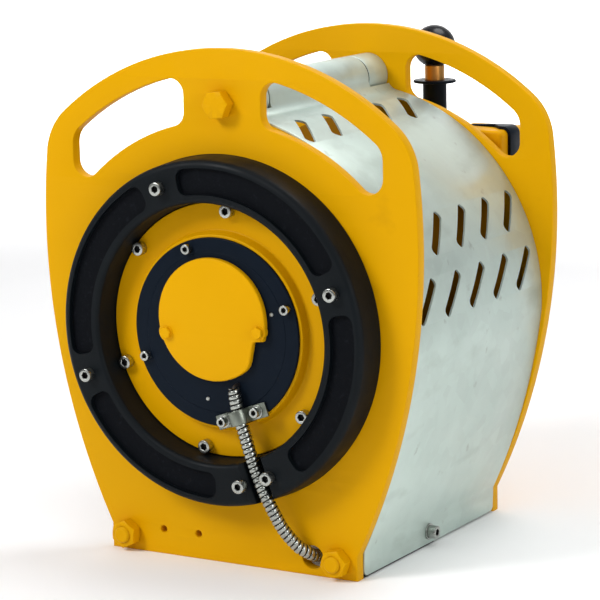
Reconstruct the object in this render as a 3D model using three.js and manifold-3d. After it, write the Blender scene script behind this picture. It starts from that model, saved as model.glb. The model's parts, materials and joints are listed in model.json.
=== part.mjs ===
// A portable air-powered wire rope winch: two side plates with hand slots, a rope drum on a
// planetary gear between them, a spring-applied brake on the front plate and an air motor with
// a control lever behind the rear plate. Millimetres, +Z up, the front plate faces -Y.
//
// Inside the "winch" group the drum axis is the Y axis, y = 0 is the front plate's front face and
// z is measured from the drum axis. The group then moves so that the origin is the middle of the
// object's footprint, on the surface that it stands on.
import * as THREE from 'three';
import { mergeVertices } from 'three/addons/utils/BufferGeometryUtils.js';
import Module from 'manifold-3d';

const wasm = await Module();
wasm.setup();

// ---- driving dimensions -------------------------------------------------------------------
const GAP = 0.3;                 // clearance between pieces that rest on each other
const HOLE_GAP = 0.6;            // clearance round a screw in its hole
const PLATE_T = 12;              // side plate thickness
const REAR_Y = 279.4;            // front face of the rear plate
const REAR_END = REAR_Y + PLATE_T;
const AXIS_H = 227;              // height of the drum axis above the ground
const HALF_W = 203.5;            // half width of a side plate
const SIDE_R = 650;              // radius of a plate's side edge
const SIDE_Z = 85;               // height of the plate's widest point above the drum axis
const TOP_R = 278;               // radius of a plate's top edge
const TOP_Z = -16;               // centre of the top edge and of the hand slots
const SHOULDER_R = 60;           // radius of the plate's shoulders
const FOOT_Z = -203;             // below this the plate's sides run straight down
const SLOT_IN = 42;              // inner end of a hand slot
const SLOT_OUT = 169;            // outer end of a hand slot
const SLOT_R = [211, 255];       // lower and upper edge radius of a hand slot

const HINGE_Z = 211;             // top through bolt, which is also the guard's hinge
const TIE_X = 116.5;             // bottom tie bolts
const TIE_Z = -210;
const BOLT_R = 8;                // M16 bolts
const HEX_AF = 24;

const RING_R = [121, 165];       // bumper ring
const RING_H = 33.4;
const RING_PCD_R = 143;
const FLANGE_PCD_R = 114;
const COVER_PCD_R = 82;
const STATION = 20;              // angle of the first screw station, then every 90 degrees
const CHANNEL_A = -70;           // angle of the conduit's channel through the ring
const RING_SCREW_A = [20, 110, 200, CHANNEL_A - 6.4, CHANNEL_A + 6.4];
const FLANGE_SCREW_A = [20, 85, 141, 200, 260, 320];
const COVER_SCREW_A = [20, 110, 200];

const DRUM_R = 88;               // rope barrel
const DRUM_FLANGE_R = 172;
const DRUM_Y = [26, 266];
const DRUM_BORE = 80;
const MODULE_MM = 2.7;           // gear tooth module
const SUN_T = 10;
const PLANET_T = 14;
const RING_T = SUN_T + 2 * PLANET_T;
const GEAR_Y = [150, 180];
const PLANETS = 3;
const ARM_R = MODULE_MM * (SUN_T + PLANET_T) / 2;
const SHAFT_R = 12;

const HOUSING_R = 84;            // motor housing
const MOTOR_Y = [304, 372];
const WINCH_END = 391.4;         // rear face of the motor's end cap
const SCREW_TIP = 41.7;          // how far the ring screws stand in front of the front plate
const LEVER = { x: 43.5, y: 339, pivot: 136 };
const CONDUIT_R = 6.2;
const CONDUIT_HOLE = { x: 88.6, z: -209.4, r: 11.2 };

const SHEET_T = 2;               // guard
const GUARD_Y = [12.6, 278.8];
const ROLL_R = 22;
const COLLAR_L = 37;             // length of the hinge tube's two end collars
const GUARD_ARC = { x: -13, z: -3, r: 204 };

const DEG = Math.PI / 180;

// ---- finishes -----------------------------------------------------------------------------
const finish = (color, roughness, metalness) =>
  new THREE.MeshStandardMaterial({ color, roughness, metalness });
const YELLOW = finish(0xdda20a, 0.45, 0);
const BLACK = finish(0x15171c, 0.5, 0);
const RUBBER = finish(0x121418, 0.75, 0);
const STEEL = finish(0xb9bcbb, 0.3, 1);
const DARK_STEEL = finish(0x6c6e70, 0.4, 1);
const SHEET = finish(0xc3ccc8, 0.4, 1);
const BRASS = finish(0xc08a3a, 0.35, 1);

const winch = new THREE.Group();
winch.position.set(0, (SCREW_TIP - WINCH_END) / 2, AXIS_H);

// ---- solids -------------------------------------------------------------------------------
function toSolid(geometry) {
  const bare = geometry.clone();
  bare.deleteAttribute('normal');
  bare.deleteAttribute('uv');
  const merged = mergeVertices(bare, 1e-4);
  const points = merged.attributes.position.array;
  const source = merged.index.array;
  const tris = [];
  for (let i = 0; i < source.length; i += 3) {
    const [a, b, c] = [source[i], source[i + 1], source[i + 2]];
    if (a !== b && b !== c && c !== a) tris.push(a, b, c);
  }
  if (signedVolume(points, tris) < 0) tris.reverse();
  return new wasm.Manifold(new wasm.Mesh({
    numProp: 3,
    vertProperties: new Float32Array(points),
    triVerts: new Uint32Array(tris),
  }));
}

function signedVolume(points, tris) {
  let sum = 0;
  const at = (i) => new THREE.Vector3().fromArray(points, i * 3);
  for (let i = 0; i < tris.length; i += 3) {
    sum += at(tris[i]).dot(at(tris[i + 1]).cross(at(tris[i + 2])));
  }
  return sum / 6;
}

function toGeometry(solid) {
  const mesh = solid.getMesh();
  const geometry = new THREE.BufferGeometry();
  geometry.setAttribute('position', new THREE.BufferAttribute(mesh.vertProperties, 3));
  geometry.setIndex(new THREE.BufferAttribute(mesh.triVerts, 1));
  geometry.computeVertexNormals();
  return geometry;
}

function add(name, solid, material) {
  const mesh = new THREE.Mesh(toGeometry(solid), material);
  mesh.name = name;
  winch.add(mesh);
}

const cut = (solid, cutters) => cutters.reduce((left, tool) => left.subtract(tool), solid);
const join = (solids) => solids.reduce((left, other) => left.add(other));

// a point at an angle (degrees from +X towards +Z) on a circle about the drum axis
const polar = (r, angle) => ({ x: r * Math.cos(angle * DEG), z: r * Math.sin(angle * DEG) });

// a ring or disc about a line along Y; the profile is a list of [radius, y]
function turned(profile, segments, x = 0, z = 0) {
  const points = profile.map(([r, y]) => new THREE.Vector2(r, y));
  const open = profile.some(([r]) => r === 0);
  if (!open) points.push(points[0].clone());
  return toSolid(new THREE.LatheGeometry(points, segments).translate(x, 0, z));
}

const rod = (r, y0, y1, segments, x = 0, z = 0) =>
  turned([[0, y0], [r, y0], [r, y1], [0, y1]], segments, x, z);
const tube = (r0, r1, y0, y1, segments, x = 0, z = 0) =>
  turned([[r0, y0], [r1, y0], [r1, y1], [r0, y1]], segments, x, z);

// a hexagonal bar along Y
function hexBar(af, y0, y1, x, z) {
  const bar = new THREE.CylinderGeometry(af / Math.sqrt(3), af / Math.sqrt(3), y1 - y0, 6);
  return toSolid(bar.translate(x, (y0 + y1) / 2, z));
}

// an outline in the X-Z plane, extruded along Y
function prism(outline, y0, y1, holes = []) {
  const shape = new THREE.Shape(outline);
  shape.holes = holes.map((hole) => new THREE.Path(hole));
  const body = new THREE.ExtrudeGeometry(shape, { depth: y1 - y0, bevelEnabled: false });
  return toSolid(body.rotateX(Math.PI / 2).translate(0, y1, 0));
}

function block(x0, x1, y0, y1, z0, z1) {
  const body = new THREE.BoxGeometry(x1 - x0, y1 - y0, z1 - z0);
  return toSolid(body.translate((x0 + x1) / 2, (y0 + y1) / 2, (z0 + z1) / 2));
}

// points of an arc in the X-Z plane; angles in radians
function arc(cx, cz, r, from, to, steps) {
  return Array.from({ length: steps + 1 }, (_, i) => {
    const a = from + (to - from) * i / steps;
    return new THREE.Vector2(cx + r * Math.cos(a), cz + r * Math.sin(a));
  });
}

const circle = (cx, cz, r, steps) => arc(cx, cz, r, 0, 2 * Math.PI, steps).slice(0, -1);
const mirrored = (points) => points.map((p) => new THREE.Vector2(-p.x, p.y)).reverse();

// where two circles cross, taking the crossing to the right of the line from a to b
function crossing(a, ra, b, rb) {
  const d = Math.hypot(b.x - a.x, b.z - a.z);
  const along = (ra * ra - rb * rb + d * d) / (2 * d);
  const across = Math.sqrt(ra * ra - along * along);
  const ux = (b.x - a.x) / d;
  const uz = (b.z - a.z) / d;
  return { x: a.x + ux * along + uz * across, z: a.z + uz * along - ux * across };
}

const angleTo = (from, to) => Math.atan2(to.z - from.z, to.x - from.x);

// ---- side plates --------------------------------------------------------------------------
function plateOutline() {
  const side = { x: HALF_W - SIDE_R, z: SIDE_Z };
  const top = { x: 0, z: TOP_Z };
  const shoulder = crossing(top, TOP_R - SHOULDER_R, side, SIDE_R - SHOULDER_R);
  const foot = Math.asin((FOOT_Z - SIDE_Z) / SIDE_R);
  const low = angleTo(side, shoulder);
  const high = angleTo(top, shoulder);
  const edge = side.x + SIDE_R * Math.cos(foot);
  const right = [
    new THREE.Vector2(edge, -AXIS_H),
    ...arc(side.x, side.z, SIDE_R, foot, low, 10),
    ...arc(shoulder.x, shoulder.z, SHOULDER_R, low, high, 5).slice(1),
    ...arc(top.x, top.z, TOP_R, high, Math.PI / 2, 8).slice(1),
  ];
  return [...right, ...mirrored(right).slice(1)];
}

function handSlot() {
  const [inner, outer] = SLOT_R;
  const corner = (edge, towards, r, radius) => {
    const x = edge + towards * r;
    return { x, z: TOP_Z + Math.sqrt(radius * radius - x * x), r };
  };
  const topIn = corner(SLOT_IN, 1, 14, outer - 14);
  const topOut = corner(SLOT_OUT, -1, 20, outer - 20);
  const lowOut = corner(SLOT_OUT, -1, 9, inner + 9);
  const lowIn = corner(SLOT_IN, 1, 14, inner + 14);
  const about = (c) => Math.atan2(c.z - TOP_Z, c.x);
  const turn = (c, from, to) => arc(c.x, c.z, c.r, from, to, 4);
  return [
    ...turn(topIn, Math.PI, about(topIn)),
    ...arc(0, TOP_Z, outer, about(topIn), about(topOut), 5).slice(1),
    ...turn(topOut, about(topOut), 0).slice(1),
    ...turn(lowOut, 0, about(lowOut) - Math.PI),
    ...arc(0, TOP_Z, inner, about(lowOut), about(lowIn), 5).slice(1),
    ...turn(lowIn, about(lowIn) - Math.PI, -Math.PI).slice(1),
  ];
}

const boltHoles = () => [
  circle(0, HINGE_Z, BOLT_R + GAP, 20),
  circle(-TIE_X, TIE_Z, BOLT_R + GAP, 16),
  circle(TIE_X, TIE_Z, BOLT_R + GAP, 16),
];

const screwHoles = (radius, angles) => angles.map((angle) => {
  const p = polar(radius, angle);
  return circle(p.x, p.z, 4 + HOLE_GAP, 8);
});

function sidePlates() {
  const slot = handSlot();
  const shared = [slot, mirrored(slot), ...boltHoles()];
  const front = [
    ...shared,
    circle(0, 0, 96.4, 36),
    circle(-77, -202.5, 3.5, 10),
    circle(-37.5, -202.5, 3.5, 10),
    circle(CONDUIT_HOLE.x, CONDUIT_HOLE.z, CONDUIT_HOLE.r, 16),
    ...screwHoles(RING_PCD_R, RING_SCREW_A),
    ...screwHoles(FLANGE_PCD_R, FLANGE_SCREW_A),
  ];
  add('front_plate', prism(plateOutline(), 0, PLATE_T, front), YELLOW);
  add('back_plate', prism(plateOutline(), REAR_Y, REAR_END, [...shared, circle(0, 0, 80.8, 32)]),
    YELLOW);
}

// ---- through bolts, nuts and spacers ------------------------------------------------------
function throughBolts() {
  const head = hexBar(HEX_AF, -13, -GAP, 0, HINGE_Z);
  add('hinge_bolt', join([head, rod(BOLT_R, -1, REAR_END + 17, 20, 0, HINGE_Z)]), YELLOW);
  const hingeNut = hexBar(HEX_AF, REAR_END + GAP, REAR_END + 13, 0, HINGE_Z);
  const hingeBore = rod(BOLT_R + GAP, REAR_Y, REAR_END + 20, 20, 0, HINGE_Z);
  add('hinge_nut', hingeNut.subtract(hingeBore), YELLOW);

  const [y0, y1] = [PLATE_T + GAP, REAR_Y - GAP];
  const hinge = [
    [BOLT_R + GAP, y0], [ROLL_R, y0], [ROLL_R, y0 + COLLAR_L], [ROLL_R - 2.4, y0 + COLLAR_L],
    [ROLL_R - 2.4, y1 - COLLAR_L], [ROLL_R, y1 - COLLAR_L], [ROLL_R, y1], [BOLT_R + GAP, y1],
  ];
  add('hinge_tube', turned(hinge, 20, 0, HINGE_Z), STEEL);

  for (const [side, x] of [['left', -TIE_X], ['right', TIE_X]]) {
    const tieHead = hexBar(HEX_AF, REAR_END + GAP, REAR_END + 10, x, TIE_Z);
    const shank = rod(BOLT_R, -15.5, REAR_END + 1, 16, x, TIE_Z);
    add(`tie_bolt_${side}`, join([tieHead, shank]), YELLOW);
    const nut = hexBar(HEX_AF, -12.5, -GAP, x, TIE_Z);
    const bore = rod(BOLT_R + GAP, -20, 5, 16, x, TIE_Z);
    add(`tie_nut_${side}`, nut.subtract(bore), YELLOW);
    add(`tie_spacer_${side}`, tube(BOLT_R + GAP, 16.5, y0, y1, 20, x, TIE_Z), STEEL);
  }
}

// ---- socket-head screws, pointing along +Y ------------------------------------------------
function socketScrew(x, z, faceY, size, length) {
  const headR = size * 0.8;
  return turned([
    [0, faceY - size], [headR, faceY - size], [headR, faceY], [size / 2, faceY],
    [size / 2, faceY + length], [0, faceY + length],
  ], 10, x, z);
}

function screwCircle(name, radius, angles, faceY, size, length) {
  angles.forEach((angle, i) => {
    const p = polar(radius, angle);
    add(`${name}_${i + 1}`, socketScrew(p.x, p.z, faceY - GAP, size, length), STEEL);
  });
}

// ---- bumper ring --------------------------------------------------------------------------
function pocket(from, to) {
  const half = 12.5;
  const centre = RING_PCD_R;
  const steps = Math.ceil((to - from) / 8);
  const outline = [
    ...arc(0, 0, centre + half, from * DEG, to * DEG, steps),
    ...arc(0, 0, centre - half, to * DEG, from * DEG, steps),
  ];
  return prism(outline, -RING_H - 1, -RING_H + 5);
}

function channel(from, to, width, y0, y1) {
  const mid = (from + to) / 2;
  const bar = new THREE.BoxGeometry(to - from, y1 - y0, width);
  bar.translate(mid, (y0 + y1) / 2, 0).rotateY(-CHANNEL_A * DEG);
  return toSolid(bar);
}

function bumperRing() {
  const [inner, outer] = RING_R;
  const front = -RING_H;
  const body = turned([
    [inner, -GAP], [outer, -GAP], [outer - 1, front + 6], [outer - 3, front + 1.5],
    [outer - 6, front], [inner + 5, front], [inner, front + 6],
  ], 48);
  const margin = 8;
  const pockets = [
    pocket(STATION + margin, STATION + 90 - margin),
    pocket(STATION + 90 + margin, STATION + 180 - margin),
    pocket(STATION + 180 + margin, STATION + 270 - margin - 9),
    pocket(CHANNEL_A + margin + 9, STATION - margin),
  ];
  const holes = RING_SCREW_A.map((angle) => {
    const p = polar(RING_PCD_R, angle);
    return rod(4 + HOLE_GAP, front - 1, 1, 8, p.x, p.z);
  });
  const path = channel(inner - 6, outer + 6, 20, front - 1, -17);
  add('bumper_ring', cut(body, [...pockets, ...holes, path]), RUBBER);
  screwCircle('ring_screw', RING_PCD_R, RING_SCREW_A, front, 8, 40);
}

// ---- brake --------------------------------------------------------------------------------
const FLANGE_FACE = -6.3;
const BOSS_FACE = -16;
const COVER_FACE = -19.6;
const CHAMBER_R = 74;
const CHAMBER_FLOOR = 6.3;
const SLEEVE_R = [31, 40];

function brake() {
  const body = turned([
    [SLEEVE_R[0], CHAMBER_FLOOR], [CHAMBER_R, CHAMBER_FLOOR], [CHAMBER_R, BOSS_FACE],
    [91, BOSS_FACE], [94, BOSS_FACE + 3], [94.5, FLANGE_FACE], [120.6, FLANGE_FACE],
    [120.6, -GAP], [95.7, -GAP], [95.7, 16], [SLEEVE_R[1], 16], [SLEEVE_R[1], 58],
    [SLEEVE_R[0], 58],
  ], 36);
  const holes = FLANGE_SCREW_A.map((angle) => {
    const p = polar(FLANGE_PCD_R, angle);
    return rod(4 + HOLE_GAP, FLANGE_FACE - 1, 1, 8, p.x, p.z);
  });
  const coverHoles = COVER_SCREW_A.map((angle) => {
    const p = polar(COVER_PCD_R, angle);
    return rod(3 + HOLE_GAP, BOSS_FACE - 1, 4, 8, p.x, p.z);
  });
  const notch = channel(90, 110, 22, BOSS_FACE - 1, FLANGE_FACE - 2.5);
  add('brake_flange', cut(body, [...holes, ...coverHoles, notch]), YELLOW);
  screwCircle('flange_screw', FLANGE_PCD_R, FLANGE_SCREW_A, FLANGE_FACE, 8, 17);

  const cover = turned([
    [0, COVER_FACE], [75.6, COVER_FACE], [76, COVER_FACE + 0.6], [88.5, COVER_FACE + 0.6],
    [89.3, COVER_FACE + 1.4], [89.3, BOSS_FACE - GAP], [CHAMBER_R - GAP, BOSS_FACE - GAP],
    [CHAMBER_R - GAP, -12.5], [62, -12.5], [62, BOSS_FACE - GAP], [0, BOSS_FACE - GAP],
  ], 32);
  const clearances = COVER_SCREW_A.map((angle) => {
    const p = polar(COVER_PCD_R, angle);
    return rod(3 + HOLE_GAP, COVER_FACE - 1, BOSS_FACE, 8, p.x, p.z);
  });
  add('brake_cover', cut(cover, clearances), BLACK);
  screwCircle('cover_screw', COVER_PCD_R, COVER_SCREW_A, COVER_FACE + 0.6, 6, 20);

  brakeCap();
  const spring = [
    [28, -15.9], [30, -15.9], [56, -11.8], [56, -9.9], [54, -9.9], [28, -14],
  ];
  add('brake_spring', turned(spring, 24), DARK_STEEL);
  add('brake_piston', tube(22, CHAMBER_R - 1, -8, -1, 24), DARK_STEEL);
  add('brake_disc', tube(SHAFT_R + GAP, 70, -0.6, 6, 24), DARK_STEEL);
}

const CAP = { x: -0.7, z: 13, r: 58 };
const CAP_EARS = [{ x: -49.3, z: -2.3, r: 9.5 }, { x: 51, z: 5.6, r: 6.9 }];

function brakeCap() {
  const face = COVER_FACE - GAP;
  const dome = turned([
    [0, face - 7.2], [44, face - 6.4], [56, face - 5], [CAP.r, face - 2], [CAP.r, face], [0, face],
  ], 32, CAP.x, CAP.z);
  const ears = CAP_EARS.map((ear) => rod(ear.r, face - 6.6, face, 12, ear.x, ear.z));
  const bite = prism([
    new THREE.Vector2(64, -2.5), new THREE.Vector2(44.2, -4.2), new THREE.Vector2(40.1, -25),
    new THREE.Vector2(35, -35), new THREE.Vector2(64, -35),
  ], face - 10, face + 1);
  add('brake_cap', join([dome, ...ears]).subtract(bite), YELLOW);
}

// ---- conduit and its clamp ----------------------------------------------------------------
const CONDUIT_ROUTE = [
  [23.6, -28.2, -48.6], [25.4, -27.5, -62], [28, -26.9, -76.2], [33, -26.8, -89],
  [38.3, -26.6, -106.3], [44.6, -26.6, -124.6], [52.5, -26.6, -142.8], [61.2, -25, -161.2],
  [69.7, -19.8, -180.6], [79.9, -12, -196.6], [84.9, -6.8, -201.9], [88.2, 0, -206.8],
  [89.4, 9, -209.6], [89.6, 18, -210.2],
];

function conduit() {
  const route = CONDUIT_ROUTE.map((p) => new THREE.Vector3(...p));
  const path = new THREE.CatmullRomCurve3(route, false, 'centripetal');
  const section = new THREE.Shape(circle(0, 0, CONDUIT_R, 8));
  const hose = new THREE.ExtrudeGeometry(section, { extrudePath: path, steps: 18 });
  add('brake_conduit', toSolid(hose), STEEL);
}

function conduitClamp() {
  const [half, width, thick] = [28.1, 13.7, 2];
  const hump = CONDUIT_R + 4 * GAP;
  const rise = -26.8 - COVER_FACE;
  const outline = [
    ...arc(0, -rise, hump + thick, 0, Math.PI, 8),
    new THREE.Vector2(-hump - thick, thick), new THREE.Vector2(-half, thick),
    new THREE.Vector2(-half, 0), new THREE.Vector2(-hump, 0),
    ...arc(0, -rise, hump, Math.PI, 0, 8),
    new THREE.Vector2(hump, 0), new THREE.Vector2(half, 0),
    new THREE.Vector2(half, thick), new THREE.Vector2(hump + thick, thick),
  ];
  const body = new THREE.ExtrudeGeometry(new THREE.Shape(outline), {
    depth: width, bevelEnabled: false,
  });
  body.translate(0, 0, -width / 2).rotateX(Math.PI).rotateY(-19.3 * DEG);
  body.translate(28.2, COVER_FACE - GAP, -76.1);
  add('conduit_clamp', toSolid(body), STEEL);
}

// ---- drum and its bearings ----------------------------------------------------------------
function drum() {
  const [front, rear] = DRUM_Y;
  const hub = SLEEVE_R[1] + 12 + GAP;
  add('drum', turned([
    [hub, front], [hub + 8, front], [hub + 8, 54], [DRUM_BORE, 54], [DRUM_BORE, front],
    [DRUM_FLANGE_R, front], [DRUM_FLANGE_R, front + 6], [DRUM_R, front + 6], [DRUM_R, rear - 6],
    [DRUM_FLANGE_R, rear - 6], [DRUM_FLANGE_R, rear], [DRUM_BORE, rear], [DRUM_BORE, 64],
    [46, 64], [46, 60], [hub, 60],
  ], 32), YELLOW);
  add('drum_bearing_front', tube(SLEEVE_R[1] + GAP, hub - GAP, 38, 56, 30), STEEL);
  add('drum_bearing_rear', tube(66 + GAP, DRUM_BORE - 4 * GAP, 236, 254, 32), STEEL);
}

// ---- gears --------------------------------------------------------------------------------
// a toothed outline; the tooth at angle 0 points along +X before it turns by `phase` radians
function toothed(teeth, tip, root, phase) {
  const pitch = 2 * Math.PI / teeth;
  const halfAt = (r, width) => width / 2 / r;
  const points = [];
  for (let i = 0; i < teeth; i += 1) {
    const a = phase + i * pitch;
    const flank = halfAt(root, 4.5);
    const land = halfAt(tip, 1.3);
    for (const [r, da] of [[root, -flank], [tip, -land], [tip, land], [root, flank]]) {
      points.push(new THREE.Vector2(r * Math.cos(a + da), r * Math.sin(a + da)));
    }
  }
  return points;
}

const pitchRadius = (teeth) => MODULE_MM * teeth / 2;
const ADDENDUM = 2.2;
const DEDENDUM = 2.8;

function gears() {
  const [y0, y1] = GEAR_Y;
  const ringR = pitchRadius(RING_T);
  const inner = toothed(RING_T, ringR - ADDENDUM, ringR + DEDENDUM, Math.PI / RING_T);
  add('ring_gear', prism(circle(0, 0, 66, 40), y0 - 2, 187.7, [inner]), DARK_STEEL);

  for (let i = 0; i < PLANETS; i += 1) {
    // at arm angle 0 the ring gear and the sun have a gap and the planet has a tooth in each
    const arm = 2 * Math.PI * i / PLANETS;
    const centre = polar(ARM_R, arm / DEG);
    const r = pitchRadius(PLANET_T);
    const outline = toothed(PLANET_T, r + ADDENDUM, r - DEDENDUM, planetPhase(arm));
    const placed = outline.map((p) => new THREE.Vector2(p.x + centre.x, p.y + centre.z));
    const bore = circle(centre.x, centre.z, 8, 14);
    add(`planet_gear_${i + 1}`, prism(placed, y0, y1, [bore]), DARK_STEEL);
  }

  const hub = tube(SHAFT_R + 1, DRUM_BORE - GAP, 126, 138, 32);
  const pins = Array.from({ length: PLANETS }, (_, i) => {
    const p = polar(ARM_R, 360 * i / PLANETS);
    return rod(8 - GAP, 137, y1 + 3, 14, p.x, p.z);
  });
  add('planet_carrier', join([hub, ...pins]), DARK_STEEL);

  const sunR = pitchRadius(SUN_T);
  const sunTeeth = toothed(SUN_T, sunR + ADDENDUM, sunR - DEDENDUM, Math.PI / SUN_T);
  const sun = prism(sunTeeth, y0 - 2, y1 + 2);
  const shaft = turned([
    [0, -4], [SHAFT_R, -4], [SHAFT_R, y0 - 6], [sunR - DEDENDUM, y0 - 2],
    [sunR - DEDENDUM, y1 + 2], [SHAFT_R, y1 + 6], [SHAFT_R, 380], [0, 380],
  ], 20);
  add('main_shaft', join([shaft, sun]), STEEL);
}

// the planet's tooth angle that meshes with a fixed ring gear whose gap is at angle 0: rolling
// the planet from arm angle 0 to `arm` turns it by arm * (1 - RING_T / PLANET_T)
function planetPhase(arm) {
  return arm * (1 - RING_T / PLANET_T);
}

// ---- gear housing and air motor -----------------------------------------------------------
function motor() {
  const [y0, y1] = MOTOR_Y;
  add('gear_housing', turned([
    [57, 188], [66, 188], [66, REAR_Y - 6], [80, REAR_Y - 6], [80, REAR_END + GAP],
    [104, REAR_END + GAP], [104, y0 - GAP], [57, y0 - GAP],
  ], 32), YELLOW);

  const shell = turned([
    [26, y0], [HOUSING_R, y0], [HOUSING_R, y1], [64, y1], [64, y0 + 8], [26, y0 + 8],
  ], 32);
  add('motor_housing', shell, YELLOW);
  const vaneSlots = Array.from({ length: 4 }, (_, i) => {
    const vane = new THREE.BoxGeometry(22, y1 - y0, 4).translate(47, (y0 + y1) / 2, 0);
    return toSolid(vane.rotateY(i * Math.PI / 2));
  });
  const rotor = tube(SHAFT_R + GAP, 54, y0 + 10, y1 - 2, 28);
  add('motor_rotor', cut(rotor, vaneSlots), DARK_STEEL);
  add('motor_end_cap', turned([
    [0, WINCH_END], [60, WINCH_END], [78, WINCH_END - 4], [HOUSING_R, WINCH_END - 10],
    [HOUSING_R, y1 + GAP], [SHAFT_R + 14, y1 + GAP], [SHAFT_R + 14, WINCH_END - 8],
    [0, WINCH_END - 8],
  ], 32), YELLOW);
  add('shaft_bearing_front', tube(SHAFT_R + GAP, SLEEVE_R[0] - GAP, 30, 42, 20), STEEL);
  add('shaft_bearing_rear', tube(SHAFT_R + GAP, 26 - GAP, y0 + 1, y0 + 7, 20), STEEL);
}

// ---- control valve and lever --------------------------------------------------------------
const VALVE = { x: [14, 73.5], y: [316, 362], z: [62, 122] };
const YOKE_Z = 144;

function valve() {
  const body = block(...VALVE.x, ...VALVE.y, ...VALVE.z);
  const ears = [322, 348].map((y) => block(LEVER.x - 14, LEVER.x + 14, y, y + 8, 121, YOKE_Z));
  const saddle = rod(HOUSING_R + GAP, VALVE.y[0] - 5, VALVE.y[1] + 5, 60);
  const pinHole = rod(5 + GAP, 310, 370, 12, LEVER.x, LEVER.pivot);
  add('valve_block', cut(join([body, ...ears]), [saddle, pinHole]), BLACK);
  add('valve_pin', rod(5, 320, 358, 12, LEVER.x, LEVER.pivot), STEEL);
}

// a disc-like piece about the lever's upright axis; the profile is a list of [radius, z]
function upright(profile, segments) {
  const points = profile.map(([r, z]) => new THREE.Vector2(r, z));
  if (!profile.some(([r]) => r === 0)) points.push(points[0].clone());
  const body = new THREE.LatheGeometry(points, segments).rotateX(Math.PI / 2);
  return toSolid(body.translate(LEVER.x, LEVER.y, 0));
}

function lever() {
  const foot = block(LEVER.x - 9, LEVER.x + 9, 330.4, 347.6, 126, 149);
  const stem = upright([[0, 147], [10, 147], [10, 216.6], [0, 216.6]], 16);
  const pinHole = rod(5 + GAP, 320, 360, 12, LEVER.x, LEVER.pivot);
  add('lever_rod', join([foot, stem]).subtract(pinHole), BRASS);
  add('lock_sleeve', upright([
    [10.4, 151], [12.2, 151], [12.2, 198.6], [21.3, 198.6], [21.8, 199.2], [21.8, 201],
    [21.3, 201.6], [10.4, 201.6],
  ], 16), BLACK);
  const ballR = 21.6;
  const ballZ = 235.7;
  const steps = 7;
  const ball = Array.from({ length: steps }, (_, i) => {
    const a = (-60 + 150 * i / steps) * DEG;
    return [ballR * Math.cos(a), ballZ + ballR * Math.sin(a)];
  });
  add('lever_knob', upright([[0, ball[0][1]], ...ball, [0, ballZ + ballR]], 16), BLACK);
}

function airFittings() {
  const x = LEVER.x;
  const z = 98;
  add('air_inlet', turned([
    [7, VALVE.y[1] + GAP], [15, VALVE.y[1] + GAP], [15, 372], [11.5, 372], [11.5, 390], [7, 390],
  ], 16, x, z), STEEL);
  const body = new THREE.LatheGeometry([
    new THREE.Vector2(5, 0), new THREE.Vector2(15, 0), new THREE.Vector2(15, 42),
    new THREE.Vector2(11, 48), new THREE.Vector2(5, 48), new THREE.Vector2(5, 0),
  ], 16).rotateZ(Math.PI / 2);
  add('muffler', toSolid(body.translate(VALVE.x[0] - GAP, LEVER.y, 104)), BRASS);
}

// ---- rear cover and its strap -------------------------------------------------------------
const COVER_BOX = { x: [74.2, 135.5], y: [304.2, 364], z: [60, 156.5] };

function rearCover() {
  const [[x0, x1], [y0, y1], [z0, z1]] = [COVER_BOX.x, COVER_BOX.y, COVER_BOX.z];
  const wall = 3;
  const hollow = block(x0 + wall, x1 - wall, y0 + wall, y1 - wall, z0 - 5, z1 - wall);
  const saddle = rod(HOUSING_R + GAP, y0 - 5, y1 + 5, 60);
  const r = 6;
  const box = prism([
    new THREE.Vector2(x0, z0), new THREE.Vector2(x1, z0),
    ...arc(x1 - r, z1 - r, r, 0, Math.PI / 2, 4), new THREE.Vector2(x0, z1),
  ], y0, y1);
  add('rear_cover', cut(box, [hollow, saddle]), YELLOW);
}

// a steel strap bent over the cover: its top leg narrows towards the free end and its side leg
// towards the foot
const STRAP = { y: [319, 340], end: 85, bottom: 130.3, t: 3, bend: 6 };

function coverStrap() {
  const [x, z] = [COVER_BOX.x[1] + GAP, COVER_BOX.z[1] + GAP];
  const [front, rear] = STRAP.y;
  const { end, bottom, t, bend } = STRAP;
  const outline = [
    new THREE.Vector2(end, z), ...arc(x - bend, z - bend, bend, Math.PI / 2, 0, 4),
    new THREE.Vector2(x, bottom), new THREE.Vector2(x + t, bottom),
    ...arc(x - bend, z - bend, bend + t, 0, Math.PI / 2, 4),
    new THREE.Vector2(end + 30, z + t), new THREE.Vector2(end, z + 0.4 * t),
  ];
  const plan = new THREE.Shape([
    new THREE.Vector2(end - 5, front - 1), new THREE.Vector2(end + 42, front - 1),
    new THREE.Vector2(end + 29, rear - 7), new THREE.Vector2(end - 5, rear - 3),
  ]);
  const topCut = new THREE.ExtrudeGeometry(plan, { depth: 20, bevelEnabled: false });
  const foot = new THREE.Shape([
    new THREE.Vector2(rear + 1, bottom + 16), new THREE.Vector2(rear, bottom + 16),
    new THREE.Vector2(rear - 6.6, bottom - 1), new THREE.Vector2(rear + 1, bottom - 1),
  ]);
  const footCut = new THREE.ExtrudeGeometry(foot, { depth: 20, bevelEnabled: false });
  footCut.rotateX(Math.PI / 2).rotateZ(Math.PI / 2);
  add('cover_strap', cut(prism(outline.reverse(), front, rear), [
    toSolid(topCut.translate(0, 0, z - 5)), toSolid(footCut.translate(x - 5, 0, 0)),
  ]), BLACK);
}

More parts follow.
